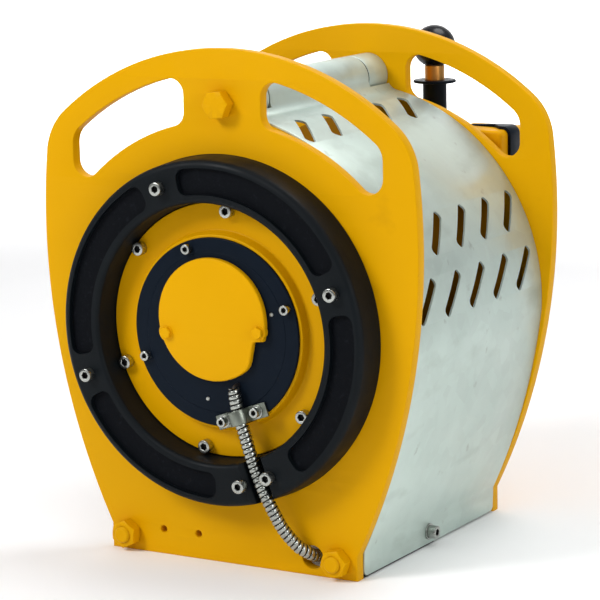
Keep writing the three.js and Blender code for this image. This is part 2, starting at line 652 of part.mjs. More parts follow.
// ---- guard --------------------------------------------------------------------------------
// the sheet's middle line, from the free end of its hinge roll down to the bottom edge
function guardLine() {
  const roll = { x: 0, z: HINGE_Z };
  const bend = { r: 14 };
  const rollR = ROLL_R - SHEET_T / 2;
  const centre = crossing(GUARD_ARC, GUARD_ARC.r + bend.r, roll, rollR + bend.r);
  const start = angleTo(GUARD_ARC, centre);
  const belly = arc(GUARD_ARC.x, GUARD_ARC.z, GUARD_ARC.r, start, -3 * DEG, 12);
  const from = belly[belly.length - 1];
  return [
    ...arc(roll.x, roll.z, rollR, 290 * DEG, angleTo(roll, centre), 16),
    ...arc(centre.x, centre.z, bend.r, angleTo(centre, roll),
      angleTo(centre, GUARD_ARC) + 2 * Math.PI, 4).slice(1),
    ...belly.slice(1),
    ...bulged(from, new THREE.Vector2(136.4, -201), 620, 4).slice(1),
    new THREE.Vector2(135.6, -225),
  ];
}

// points of a shallow arc of radius r from a to b that bulges to the left of its direction
function bulged(a, b, r, steps) {
  const chord = b.clone().sub(a);
  const mid = a.clone().add(b).multiplyScalar(0.5);
  const back = Math.sqrt(r * r - chord.lengthSq() / 4);
  const normal = new THREE.Vector2(chord.y, -chord.x).normalize();
  const c = mid.add(normal.multiplyScalar(back));
  const from = Math.atan2(a.y - c.y, a.x - c.x);
  const to = Math.atan2(b.y - c.y, b.x - c.x);
  return arc(c.x, c.y, r, from, to, steps);
}

function ribbon(line, thickness) {
  const side = (offset) => line.map((p, i) => {
    const before = line[Math.max(i - 1, 0)];
    const after = line[Math.min(i + 1, line.length - 1)];
    const along = after.clone().sub(before).normalize();
    return new THREE.Vector2(p.x - along.y * offset, p.y + along.x * offset);
  });
  return [...side(thickness / 2), ...side(-thickness / 2).reverse()];
}

// a slanted round-ended slot through the sheet, at an angle on the guard's arc
function ventCutter(angle, y) {
  const [halfL, halfW] = [25, 5.8];
  const outline = [
    ...arc(halfL - halfW, 0, halfW, -Math.PI / 2, Math.PI / 2, 3),
    ...arc(-halfL + halfW, 0, halfW, Math.PI / 2, 3 * Math.PI / 2, 3),
  ];
  const tool = new THREE.ExtrudeGeometry(new THREE.Shape(outline), {
    depth: 16, bevelEnabled: false,
  });
  tool.translate(0, 0, -8).rotateZ(-45 * DEG);
  tool.applyMatrix4(new THREE.Matrix4().makeBasis(
    new THREE.Vector3(Math.sin(angle), 0, -Math.cos(angle)),
    new THREE.Vector3(0, 1, 0),
    new THREE.Vector3(Math.cos(angle), 0, Math.sin(angle)),
  ));
  const { x, z, r } = GUARD_ARC;
  return toSolid(tool.translate(x + r * Math.cos(angle), y, z + r * Math.sin(angle)));
}

const VENT_PITCH = 49.6;
const VENT_ROWS = [
  { angle: 67, y: 38 }, { angle: 26.2, y: 48.4 }, { angle: 10, y: 46.2 },
];
const GUARD_SCREW = { y: 140, z: -213 };

function guard() {
  const [y0, y1] = GUARD_Y;
  const sheet = prism(ribbon(guardLine(), SHEET_T), y0, y1);
  const vents = VENT_ROWS.flatMap(({ angle, y }) =>
    Array.from({ length: 5 }, (_, i) => ventCutter(angle * DEG, y + i * VENT_PITCH)));
  const clear = ROLL_R + 0.5;
  const collars = [
    rod(clear, y0 - 2, PLATE_T + GAP + COLLAR_L + 0.5, 28, 0, HINGE_Z),
    rod(clear, REAR_Y - GAP - COLLAR_L - 0.5, y1 + 2, 28, 0, HINGE_Z),
  ];
  const hole = new THREE.CylinderGeometry(4 + HOLE_GAP, 4 + HOLE_GAP, 20, 8).rotateZ(Math.PI / 2);
  hole.translate(136, GUARD_SCREW.y, GUARD_SCREW.z);
  add('guard', cut(sheet, [...vents, ...collars, toSolid(hole)]), SHEET);

  const screw = socketScrew(0, 0, 0, 8, 3.2);
  const face = 137.2;
  const turnedScrew = toGeometry(screw).rotateZ(Math.PI / 2);
  add('guard_screw', toSolid(turnedScrew.translate(face, GUARD_SCREW.y, GUARD_SCREW.z)), STEEL);
}

sidePlates();
throughBolts();
bumperRing();
brake();
conduit();
conduitClamp();
drum();
gears();
motor();
valve();
lever();
airFittings();
rearCover();
coverStrap();
guard();

export default winch;
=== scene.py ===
# Looks for a portable air-powered rope winch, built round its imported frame.
# Helpers work in millimetres about the drum axis: x to the guard side, y from the front plate's
# front face towards the motor, z up from the axis. piece() turns them into metres in the row frame.
import json
import math

import bmesh
import bpy
from mathutils import Matrix, Vector


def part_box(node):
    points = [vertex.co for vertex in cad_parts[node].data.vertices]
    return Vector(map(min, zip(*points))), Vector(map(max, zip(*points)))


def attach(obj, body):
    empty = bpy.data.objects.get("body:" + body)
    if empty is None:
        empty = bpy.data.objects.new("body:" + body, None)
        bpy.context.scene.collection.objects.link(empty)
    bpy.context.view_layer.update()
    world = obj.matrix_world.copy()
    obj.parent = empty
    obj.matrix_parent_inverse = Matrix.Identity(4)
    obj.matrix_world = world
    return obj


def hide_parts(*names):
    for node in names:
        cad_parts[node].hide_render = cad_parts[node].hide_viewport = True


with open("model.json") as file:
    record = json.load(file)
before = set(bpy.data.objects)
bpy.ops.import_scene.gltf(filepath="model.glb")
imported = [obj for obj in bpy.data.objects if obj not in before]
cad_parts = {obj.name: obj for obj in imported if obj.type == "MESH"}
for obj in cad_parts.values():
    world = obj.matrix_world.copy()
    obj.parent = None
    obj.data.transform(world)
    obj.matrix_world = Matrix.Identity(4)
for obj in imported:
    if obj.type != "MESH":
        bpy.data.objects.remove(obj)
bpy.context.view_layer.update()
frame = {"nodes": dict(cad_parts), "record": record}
nodes = frame["nodes"]

MM = 0.001
AXIS_H = 227
ORIGIN = Vector((0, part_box("front_plate")[0].y, AXIS_H * MM))
TO_ROW = Matrix.Translation(ORIGIN) @ Matrix.Scale(MM, 4)
PI = math.pi


def rad(a):
    return math.radians(a)


def polar(r, a):
    return (r * math.cos(rad(a)), r * math.sin(rad(a)))


# ---- camera -------------------------------------------------------------------------------
def make_camera():
    data = bpy.data.cameras.new("camera")
    data.lens = 162.77
    data.sensor_width = 36
    data.clip_start, data.clip_end = 0.1, 50
    cam = bpy.data.objects.new("camera", data)
    bpy.context.scene.collection.objects.link(cam)
    az, el, roll = rad(30.68), rad(10.59), rad(-1.10)
    back = Vector((math.sin(az) * math.cos(el), -math.cos(az) * math.cos(el), math.sin(el)))
    right = Vector((0, 0, 1)).cross(back).normalized()
    up = back.cross(right)
    turned_right = right * math.cos(roll) + up * math.sin(roll)
    turned_up = up * math.cos(roll) - right * math.sin(roll)
    basis = Matrix((turned_right, turned_up, back)).transposed().to_4x4()
    cam.matrix_world = Matrix.Translation(TO_ROW @ Vector((1327.66, -2102.54, 490.98))) @ basis
    bpy.context.scene.camera = cam


make_camera()


# ---- materials ----------------------------------------------------------------------------
def linear(rgb):
    return [(c / 255 / 12.92 if c < 10 else ((c / 255 + 0.055) / 1.055) ** 2.4) for c in rgb] + [1]


class Look:
    """A procedural material: a Principled shader fed by noise in the row frame."""

    def __init__(self, name, rgb, rough, metal=0.0, specular=0.5, coat=0.0):
        self.mat = bpy.data.materials.new(name)
        self.mat.use_nodes = True
        self.tree = self.mat.node_tree
        self.bsdf = self.tree.nodes["Principled BSDF"]
        self.rgb, self.rough = linear(rgb), rough
        self.bsdf.inputs["Metallic"].default_value = metal
        self.bsdf.inputs["Specular IOR Level"].default_value = specular
        self.bsdf.inputs["Coat Weight"].default_value = coat
        self.bsdf.inputs["Coat Roughness"].default_value = 0.15
        self.bsdf.inputs["Base Color"].default_value = self.rgb
        self.bsdf.inputs["Roughness"].default_value = rough
        self.space = self.node("ShaderNodeTexCoord").outputs["Object"]
        self.height = None

    def node(self, kind, **values):
        made = self.tree.nodes.new(kind)
        for key, value in values.items():
            setattr(made, key, value)
        return made

    def link(self, source, target):
        self.tree.links.new(source, target)

    def stretched(self, scale):
        mapping = self.node("ShaderNodeMapping")
        mapping.inputs["Scale"].default_value = scale
        self.link(self.space, mapping.inputs["Vector"])
        return mapping.outputs["Vector"]

    def noise(self, scale, detail=3, stretch=None):
        made = self.node("ShaderNodeTexNoise")
        made.inputs["Scale"].default_value = scale
        made.inputs["Detail"].default_value = detail
        self.link(self.stretched(stretch) if stretch else self.space, made.inputs["Vector"])
        return made.outputs["Fac"]

    def cells(self, scale):
        made = self.node("ShaderNodeTexVoronoi")
        made.inputs["Scale"].default_value = scale
        self.link(self.space, made.inputs["Vector"])
        return made.outputs["Color"]

    def remap(self, fac, low, high, to_low, to_high):
        made = self.node("ShaderNodeMapRange")
        for key, value in zip(("From Min", "From Max", "To Min", "To Max"),
                              (low, high, to_low, to_high)):
            made.inputs[key].default_value = value
        self.link(fac, made.inputs["Value"])
        return made.outputs["Result"]

    def tint(self, fac, rgb, low=0.35, high=0.65, most=1.0):
        """Mixes another colour in where fac is high."""
        ramp = self.remap(fac, low, high, 0, most)
        mix = self.node("ShaderNodeMix", data_type="RGBA")
        base = self.bsdf.inputs["Base Color"]
        if base.is_linked:
            self.link(base.links[0].from_socket, mix.inputs[6])
        else:
            mix.inputs[6].default_value = self.rgb
        mix.inputs[7].default_value = linear(rgb)
        self.link(ramp, mix.inputs[0])
        self.link(mix.outputs[2], base)
        return self

    def polish(self, fac, low, high):
        self.link(self.remap(fac, 0.3, 0.7, low, high), self.bsdf.inputs["Roughness"])
        return self

    def bump(self, fac, depth):
        """Adds relief; depth is in millimetres."""
        made = self.node("ShaderNodeBump")
        made.inputs["Distance"].default_value = depth * MM
        made.inputs["Strength"].default_value = 1
        self.link(fac, made.inputs["Height"])
        if self.height:
            self.link(self.height, made.inputs["Normal"])
        self.height = made.outputs["Normal"]
        self.link(self.height, self.bsdf.inputs["Normal"])
        return self


def powder_coat(name, rgb, dark, dust_and_shade, rough=0.42):
    look = Look(name, rgb, rough, specular=0.06)
    look.tint(look.noise(5, 2), dark, 0.3, 0.8, 0.5)
    # Small patches of the third colour: dust on the yellow and black coats, patches of painted
    # shade on the drum's darker copy.
    look.tint(look.noise(26, 8), dust_and_shade, 0.66, 0.82, 0.35)
    look.polish(look.noise(40, 4), rough - 0.06, rough + 0.08)
    look.bump(look.noise(700, 2), 0.05)
    look.bump(look.noise(90, 2), 0.05)
    return look.mat


YELLOW = powder_coat("yellow_powder_coat", (224, 165, 0), (210, 152, 0), (190, 138, 8))
# A darker copy of the yellow paint with darker patches, for the drum: painted shade for its place
# deep inside the frame.
SHADED_DRUM_YELLOW = powder_coat("drum_yellow_painted_shade", (150, 103, 6), (120, 80, 6), (60, 44, 18), 0.5)
BLACK = powder_coat("black_enamel", (16, 25, 36), (11, 18, 27), (32, 41, 50), 0.4)


def make_rubber():
    look = Look("moulded_rubber", (9, 15, 19), 0.42, specular=0.13)
    look.tint(look.noise(9, 5), (15, 22, 26), 0.5, 0.85, 0.6)
    look.tint(look.noise(120, 6), (38, 44, 48), 0.7, 0.84, 0.4)
    look.polish(look.noise(30, 4), 0.4, 0.6)
    look.bump(look.noise(420, 3), 0.10)
    look.bump(look.noise(60, 2), 0.12)
    return look.mat


def make_pocket_rubber():
    look = Look("cast_rubber_floor", (8, 11, 16), 0.62, specular=0.07)
    look.tint(look.noise(200, 8), (28, 31, 37), 0.6, 0.8, 0.6)
    look.bump(look.noise(260, 6), 0.45)
    return look.mat


def make_galvanised():
    look = Look("galvanised_sheet", (192, 208, 200), 0.4, metal=0.5)
    look.tint(look.cells(75), (182, 196, 189), 0.1, 0.9, 0.6)
    look.tint(look.noise(7, 6), (208, 222, 214), 0.42, 0.7, 0.8)
    look.tint(look.noise(14, 7, (0.6, 1.0, 2.2)), (160, 174, 164), 0.56, 0.76, 0.6)
    look.tint(look.noise(60, 9), (132, 136, 126), 0.68, 0.8, 0.6)
    look.polish(look.noise(22, 6), 0.3, 0.52)
    look.bump(look.cells(75), 0.03)
    look.bump(look.noise(9, 3), 0.5)
    return look.mat


def metal(name, rgb, low, high, stain, stretch=None, grain=300, depth=0.02):
    look = Look(name, rgb, (low + high) / 2, metal=1.0)
    look.tint(look.noise(80, 5), stain, 0.5, 0.8, 0.6)
    look.polish(look.noise(grain, 3, stretch), low, high)
    look.bump(look.noise(grain, 3, stretch), depth)
    return look.mat


RUBBER = make_rubber()
POCKET = make_pocket_rubber()
SHEET = make_galvanised()
ZINC = metal("bright_zinc", (176, 179, 174), 0.22, 0.34, (128, 130, 124), grain=120, depth=0.01)
CONDUIT = metal("stainless_strip", (176, 180, 174), 0.2, 0.36, (112, 114, 108), (1, 1, 1), 260)
CLAMP = metal("weathered_zinc", (134, 140, 130), 0.28, 0.46, (98, 103, 94), grain=90)
MACHINED = metal("machined_steel", (132, 132, 134), 0.28, 0.5, (92, 90, 86), (1, 18, 1), 60)
BRASS = metal("turned_brass", (202, 150, 84), 0.34, 0.46, (176, 126, 62), (1, 1, 14), 70)


def make_gloss():
    look = Look("gloss_phenolic", (11, 13, 17), 0.3, specular=0.3)
    look.tint(look.noise(40, 4), (22, 25, 31), 0.5, 0.8, 0.6)
    look.polish(look.noise(90, 5), 0.22, 0.36)
    return look.mat


def make_hose():
    look = Look("black_hose", (18, 18, 20), 0.45)
    look.tint(look.noise(150, 4), (36, 36, 38), 0.5, 0.8, 0.6)
    look.bump(look.noise(500, 3), 0.05)
    return look.mat


# A dark colour painted for shade: screw sockets, conduit grooves, the pipe inside the guard's roll
# and the strip under the guard.
def make_painted_shade():
    look = Look("painted_shade_dark", (30, 30, 30), 0.55, metal=0.6)
    look.tint(look.noise(300, 4), (58, 56, 52), 0.5, 0.8, 0.7)
    return look.mat


GLOSS = make_gloss()
HOSE = make_hose()
PAINTED_SHADE = make_painted_shade()

SLOT_LOOKS = {
    "yellow_paint": YELLOW, "black_paint": BLACK, "bumper_rubber": RUBBER, "black_knob": GLOSS,
    "zinc_steel": ZINC, "dark_steel": MACHINED, "galvanised_sheet": SHEET, "lever_brass": BRASS,
}
NODE_SLOT = {s["node"]: s["material_slot"] for s in frame["record"]["subparts"]}
for node_name, node in nodes.items():
    node.data.materials.clear()
    node.data.materials.append(SLOT_LOOKS[NODE_SLOT[node_name]])


# ---- mesh helpers -------------------------------------------------------------------------
def fillet(points, radius, steps=4):
    """Rounds the corners of a closed outline. radius is one number or one per corner."""
    out = []
    count = len(points)
    for i, point in enumerate(points):
        r = radius[i] if isinstance(radius, (list, tuple)) else radius
        p, a, b = Vector(point), Vector(points[i - 1]), Vector(points[(i + 1) % count])
        u, v = a - p, b - p
        if r <= 0 or u.length < 1e-5 or v.length < 1e-5:
            out.append(tuple(p))
            continue
        half = u.angle(v) / 2
        if half > PI / 2 - 0.02:
            out.append(tuple(p))
            continue
        cut = min(r / math.tan(half), 0.49 * u.length, 0.49 * v.length)
        u.normalize()
        v.normalize()
        r = cut * math.tan(half)
        centre = p + (u + v).normalized() * (r / math.sin(half))
        start, end = p + u * cut - centre, p + v * cut - centre
        sweep = start.angle_signed(end)
        for k in range(steps + 1):
            a = -sweep * k / steps
            c, s = math.cos(a), math.sin(a)
            out.append((centre.x + start.x * c - start.y * s, centre.y + start.x * s + start.y * c))
    return out


def arc(cx, cz, r, start, end, steps):
    """Points of an arc; angles in degrees."""
    return [(cx + r * math.cos(rad(start + (end - start) * i / steps)),
             cz + r * math.sin(rad(start + (end - start) * i / steps))) for i in range(steps + 1)]


def circle(cx, cz, r, steps=48):
    return arc(cx, cz, r, 0, 360, steps)[:-1]


def loft(bm, rings, closed=False):
    """Joins rings of points, each a list of vectors or a single one, with faces."""
    made = [[bm.verts.new(p) for p in ring] for ring in rings]
    pairs = list(zip(made, made[1:]))
    if closed:
        pairs.append((made[-1], made[0]))
    for a, b in pairs:
        count = max(len(a), len(b))
        for i in range(count):
            j = (i + 1) % count
            quad = [a[i % len(a)], a[j % len(a)], b[j % len(b)], b[i % len(b)]]
            face = list(dict.fromkeys(quad))
            if len(face) > 2:
                bm.faces.new(face)
    return bm


def lathe(profile, segs=128, x=0.0, z=0.0, bm=None, radius=0.0, steps=3):
    """A turned body about a line along Y. Corners off the axis are rounded by radius."""
    bm = bm or bmesh.new()
    if radius:
        sizes = radius if isinstance(radius, (list, tuple)) else [
            0 if r < 1e-6 else radius for r, _ in profile]
        profile = fillet(profile, sizes, steps)
    rings = []
    for r, y in profile:
        if r < 1e-6:
            rings.append([(x, y, z)])
        else:
            rings.append([(x + r * math.cos(2 * PI * i / segs), y,
                           z + r * math.sin(2 * PI * i / segs)) for i in range(segs)])
    return loft(bm, rings, closed=profile[0][0] > 1e-6)


def hexagon(af, a):
    """Distance from the centre of a hexagon to its side at an angle."""
    return af / 2 / math.cos((a % (PI / 3)) - PI / 6)


def hex_rings(af, x, z, levels, samples=72, turn=0.0):
    """levels is a list of (y, limit): at each the hexagon is cut back to a circle of that radius,
    and a limit of None leaves the corners, moved along Y as a 30 degree chamfer does."""
    rings = []
    for y, limit, slope in levels:
        ring = []
        for i in range(samples):
            a = 2 * PI * i / samples
            r = hexagon(af, a)
            if limit is not None:
                r = min(r, limit)
            dy = (hexagon(af, a) - af / 2) * slope
            ring.append((x + r * math.cos(a + turn), y + dy, z + r * math.sin(a + turn)))
        rings.append(ring)
    return rings


def hex_head(bm, af, y_face, y_seat, x, z, bore=0.0, turn=0.0, both=False):
    """A hexagon with a chamfered face at y_face, resting at y_seat; with a bore it is a nut."""
    way = 1 if y_seat > y_face else -1
    flat = af / 2 * 0.96
    inner = [[(x, y_face, z)]] if not bore else hex_rings(af, x, z, [(y_face, bore, 0)], turn=turn)
    outer = [[(x, y_seat, z)]] if not bore else hex_rings(af, x, z, [(y_seat, bore, 0)], turn=turn)
    levels = [(y_face, flat, 0), (y_face + way * 0.35, None, way * 0.55)]
    if both:
        levels += [(y_seat - way * 0.35, None, -way * 0.55), (y_seat, flat, 0)]
    else:
        levels += [(y_seat - way * 0.8, None, 0), (y_seat - way * 0.8, flat, 0), (y_seat, flat, 0)]
    rings = inner + hex_rings(af, x, z, levels, turn=turn) + outer
    return loft(bm, rings, closed=bool(bore))


def socket_screw(bm, x, z, seat, size, length, turn=0.3, segs=48):
    """A socket-head cap screw: the head stands out towards -Y from y = seat."""
    head, top = size * 0.8, seat - size
    af = size * 0.76
    rings = [[(x, top + size * 0.62, z)]]
    rings += hex_rings(af, x, z, [(top + size * 0.55, None, 0), (top + 0.35, None, 0)], segs, turn)
    rings += hex_rings(af + 0.9, x, z, [(top, None, 0)], segs, turn)
    c = [(math.cos(2 * PI * i / segs + turn), math.sin(2 * PI * i / segs + turn))
         for i in range(segs)]
    body = [(head * 0.88, top), (head * 0.955, top + 0.25), (head, top + 0.9), (head, seat - 0.25),
            (head - 0.25, seat), (size / 2, seat), (size / 2, seat + length - 1),
            (size / 2 - 1, seat + length)]
    for r, y in body:
        rings.append([(x + r * cx, y, z + r * cz) for cx, cz in c])
    rings.append([(x, seat + length, z)])
    before = len(bm.faces)
    loft(bm, rings)
    # The socket's floor and walls take material 1: dark colour painted for the shade inside the
    # socket.
    bm.faces.ensure_lookup_table()
    for face in bm.faces[before:before + 2 * segs]:
        face.material_index = 1
    return bm


def thread(bm, r, y0, y1, x, z, pitch=2.0, segs=32):
    """A threaded stud end as close rings, with a chamfered tip at y1."""
    way = 1 if y1 > y0 else -1
    turns = int(abs(y1 - y0) / pitch)
    profile = [(0, y0)]
    for i in range(turns):
        y = y0 + way * pitch * i
        profile += [(r - 0.9, y), (r, y + way * pitch * 0.5), (r - 0.9, y + way * pitch)]
    profile += [(r - 1.6, y1), (0, y1)]
    return lathe(profile, segs, x, z, bm)


def slab(loops, y0, y1, edge=0.8, resolution=2):
    """A plate with rounded edges: the first loop is its outline and the others are holes."""
    data = bpy.data.curves.new("slab", "CURVE")
    data.dimensions, data.fill_mode = "2D", "BOTH"
    data.extrude, data.bevel_depth = (y1 - y0) / 2 - edge, edge
    data.bevel_resolution, data.offset = resolution, -edge
    for i, loop in enumerate(loops):
        area = sum(a[0] * b[1] - b[0] * a[1] for a, b in zip(loop, loop[1:] + loop[:1]))
        points = loop if (area > 0) == (i == 0) else loop[::-1]
        spline = data.splines.new("POLY")
        spline.points.add(len(points) - 1)
        for p, q in zip(spline.points, points):
            p.co = (q[0], q[1], 0, 1)
        spline.use_cyclic_u = True
    holder = bpy.data.objects.new("slab", data)
    bpy.context.scene.collection.objects.link(holder)
    bm = from_object(holder)
    bm.transform(Matrix.Translation((0, (y0 + y1) / 2, 0)) @ Matrix.Rotation(PI / 2, 4, "X"))
    return bm


def from_object(holder):
    """The evaluated mesh of a helper object, which is then removed."""
    bpy.context.view_layer.update()
    shown = holder.evaluated_get(bpy.context.evaluated_depsgraph_get())
    mesh = bpy.data.meshes.new_from_object(shown)
    bm = bmesh.new()
    bm.from_mesh(mesh)
    bmesh.ops.remove_doubles(bm, verts=bm.verts, dist=1e-4)
    bpy.data.objects.remove(holder)
    bpy.data.meshes.remove(mesh)
    return bm


def helper(bm, name="helper"):
    bmesh.ops.recalc_face_normals(bm, faces=bm.faces)
    mesh = bpy.data.meshes.new(name)
    bm.to_mesh(mesh)
    bm.free()
    holder = bpy.data.objects.new(name, mesh)
    bpy.context.scene.collection.objects.link(holder)
    return holder


def carve(body, tool, operation="DIFFERENCE"):
    tool_holder = helper(tool)
    holder = helper(body)
    step = holder.modifiers.new("cut", "BOOLEAN")
    step.operation, step.solver, step.object = operation, "EXACT", tool_holder
    bm = from_object(holder)
    bpy.data.objects.remove(tool_holder)
    return bm


def soften(body, width, segments=2, angle=35):
    holder = helper(body)
    step = holder.modifiers.new("soft", "BEVEL")
    step.width, step.segments = width, segments
    step.limit_method, step.angle_limit = "ANGLE", rad(angle)
    step.use_clamp_overlap = True
    return from_object(holder)


def merged(*parts):
    """Several bodies in one mesh."""
    out = bmesh.new()
    for part in parts:
        mesh = bpy.data.meshes.new("part")
        part.to_mesh(mesh)
        part.free()
        out.from_mesh(mesh)
        bpy.data.meshes.remove(mesh)
    return out


def box(x0, x1, y0, y1, z0, z1, edge=0.0, segments=2):
    bm = bmesh.new()
    bmesh.ops.create_cube(bm, size=1)
    bm.transform(Matrix.Translation(((x0 + x1) / 2, (y0 + y1) / 2, (z0 + z1) / 2))
                 @ Matrix.Diagonal((x1 - x0, y1 - y0, z1 - z0, 1)))
    if edge:
        bmesh.ops.bevel(bm, geom=bm.edges[:], offset=edge, segments=segments, affect="EDGES",
                        profile=0.5)
    return bm


def piece(name, bm, body, look, stands_for=(), looks=None, angle=32):
    """Puts a finished body into the scene as one named piece. Faces marked with material index 1
    take the painted-shade look, dark colour painted for the shade in screw sockets, conduit grooves
    and the pipe inside the guard's roll."""
    bmesh.ops.recalc_face_normals(bm, faces=bm.faces)
    bm.transform(TO_ROW)
    mesh = bpy.data.meshes.new(name)
    bm.to_mesh(mesh)
    bm.free()
    for each in looks or [look, PAINTED_SHADE]:
        mesh.materials.append(each)
    mesh.shade_smooth()
    mesh.set_sharp_from_angle(angle=rad(angle))
    made = bpy.data.objects.new(name, mesh)
    bpy.context.scene.collection.objects.link(made)
    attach(made, body)
    if stands_for:
        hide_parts(*stands_for)
    return made


# ---- side plates --------------------------------------------------------------------------
PLATE_T, REAR_Y = 12, 279.4
REAR_END = REAR_Y + PLATE_T
HINGE_Z, TIE_X, TIE_Z = 211, 116.5, -210
RING_PCD_R, FLANGE_PCD_R = 143, 114
RING_ANGLES = [20, 110, 200, -76.4, -63.6]
FLANGE_ANGLES = [20, 85, 141, 200, 260, 320]
COVER_ANGLES = [20, 110, 200]


def crossing(a, ra, b, rb):
    dx, dz = b[0] - a[0], b[1] - a[1]
    d = math.hypot(dx, dz)
    along = (ra * ra - rb * rb + d * d) / (2 * d)
    across = math.sqrt(ra * ra - along * along)
    return (a[0] + dx / d * along + dz / d * across, a[1] + dz / d * along - dx / d * across)


def heading(a, b):
    return math.degrees(math.atan2(b[1] - a[1], b[0] - a[0]))


def plate_outline():
    side, side_r, top, top_r, shoulder_r = (203.5 - 650, 85), 650, (0, -16), 278, 60
    shoulder = crossing(top, top_r - shoulder_r, side, side_r - shoulder_r)
    foot = math.degrees(math.asin((-203 - side[1]) / side_r))
    low, high = heading(side, shoulder), heading(top, shoulder)
    edge = side[0] + side_r * math.cos(rad(foot))
    right = ([(edge, -AXIS_H)] + arc(*side, side_r, foot, low, 60)
             + arc(*shoulder, shoulder_r, low, high, 24)[1:] + arc(*top, top_r, high, 90, 40)[1:])
    return right + [(-x, z) for x, z in reversed(right[:-1])]


def hand_slot(side=1):
    inner, outer, top_z, end = 211, 255, -16, 168.2

    def corner(edge, way, r, radius):
        x = edge + way * r
        return (x, top_z + math.sqrt(radius * radius - x * x)), r

    (c1, r1), (c2, r2) = corner(42, 1, 14, outer - 14), corner(end, -1, 20, outer - 20)
    (c3, r3), (c4, r4) = corner(end, -1, 15, inner + 15), corner(42, 1, 14, inner + 14)
    about = lambda c: heading((0, top_z), c)
    points = (arc(*c1, r1, 180, about(c1), 12) + arc(0, top_z, outer, about(c1), about(c2), 24)[1:]
              + arc(*c2, r2, about(c2), 0, 12)[1:] + arc(*c3, r3, 0, about(c3) - 180, 12)
              + arc(0, top_z, inner, about(c3), about(c4), 24)[1:]
              + arc(*c4, r4, about(c4) - 180, -180, 12)[1:])
    return [(side * x, z) for x, z in points]


def plates():
    shared = [hand_slot(1), hand_slot(-1), circle(0, HINGE_Z, 8.3, 32),
              circle(-TIE_X, TIE_Z, 8.3, 32), circle(TIE_X, TIE_Z, 8.3, 32)]
    screw_holes = [circle(*polar(RING_PCD_R, a), 4.6, 16) for a in RING_ANGLES]
    screw_holes += [circle(*polar(FLANGE_PCD_R, a), 4.6, 16) for a in FLANGE_ANGLES]
    front = [plate_outline(), *shared, circle(0, 0, 96.6, 96), circle(-77, -202.5, 3.5, 20),
             circle(-37.5, -202.5, 3.5, 20), circle(88.6, -209.4, 11.2, 48), *screw_holes]
    piece("front_side_plate", slab(front, 0, PLATE_T, 1.0), "frame", YELLOW, ["front_plate"])
    rear = [plate_outline(), *shared, circle(0, 0, 80.8, 96)]
    piece("rear_side_plate", slab(rear, REAR_Y, REAR_END, 1.0), "frame", YELLOW, ["back_plate"])


# ---- through bolts, nuts, spacers ---------------------------------------------------------
def through_bolts():
    bolt = lathe([(0, -1), (8, -1), (8, REAR_END + 1), (0, REAR_END + 1)], 32, 0, HINGE_Z)
    thread(bolt, 8, REAR_END + 1, REAR_END + 17, 0, HINGE_Z)
    hex_head(bolt, 24, -13, -0.3, 0, HINGE_Z, turn=0.1)
    piece("top_hinge_bolt", bolt, "frame", YELLOW, ["hinge_bolt"])
    nut = hex_head(bmesh.new(), 24, REAR_END + 13, REAR_END + 0.3, 0, HINGE_Z, 8.3, 0.35, True)
    piece("top_hinge_nut", nut, "frame", YELLOW, ["hinge_nut"])
    y0, y1 = PLATE_T + 0.3, REAR_Y - 0.3
    hinge = [(8.3, y0), (22, y0), (22, y0 + 37), (19.6, y0 + 37), (19.6, y1 - 37), (22, y1 - 37),
             (22, y1), (8.3, y1)]
    pipe = lathe(hinge, 96, 0, HINGE_Z, radius=0.6)
    # Faces of the pipe's thin middle, inside the guard's roll, take material 1: dark colour painted
    # for the shade in the roll's slit.
    for face in pipe.faces:
        spot = face.calc_center_median()
        face.material_index = int(17 < math.hypot(spot.x, spot.z - HINGE_Z) < 21)
    piece("hinge_pipe", pipe, "frame", SHEET, ["hinge_tube"])
    for side, x, turn in (("left", -TIE_X, 0.45), ("right", TIE_X, 0.2)):
        bolt = lathe([(0, -1), (8, -1), (8, REAR_END + 1), (0, REAR_END + 1)], 32, x, TIE_Z)
        thread(bolt, 8, -1, -15.5, x, TIE_Z)
        hex_head(bolt, 24, REAR_END + 10, REAR_END + 0.3, x, TIE_Z, turn=turn)
        piece(f"tie_bolt_{side}_painted", bolt, "frame", YELLOW, [f"tie_bolt_{side}"])
        nut = hex_head(bmesh.new(), 24, -12.5, -0.3, x, TIE_Z, 8.2, turn, True)
        piece(f"tie_nut_{side}_painted", nut, "frame", YELLOW, [f"tie_nut_{side}"])
        spacer = lathe([(8.3, y0), (16.5, y0), (16.5, y1), (8.3, y1)], 64, x, TIE_Z, radius=0.8)
        piece(f"tie_tube_{side}", spacer, "frame", ZINC, [f"tie_spacer_{side}"])


# ---- bumper ring --------------------------------------------------------------------------
RING_FACE = -33.4


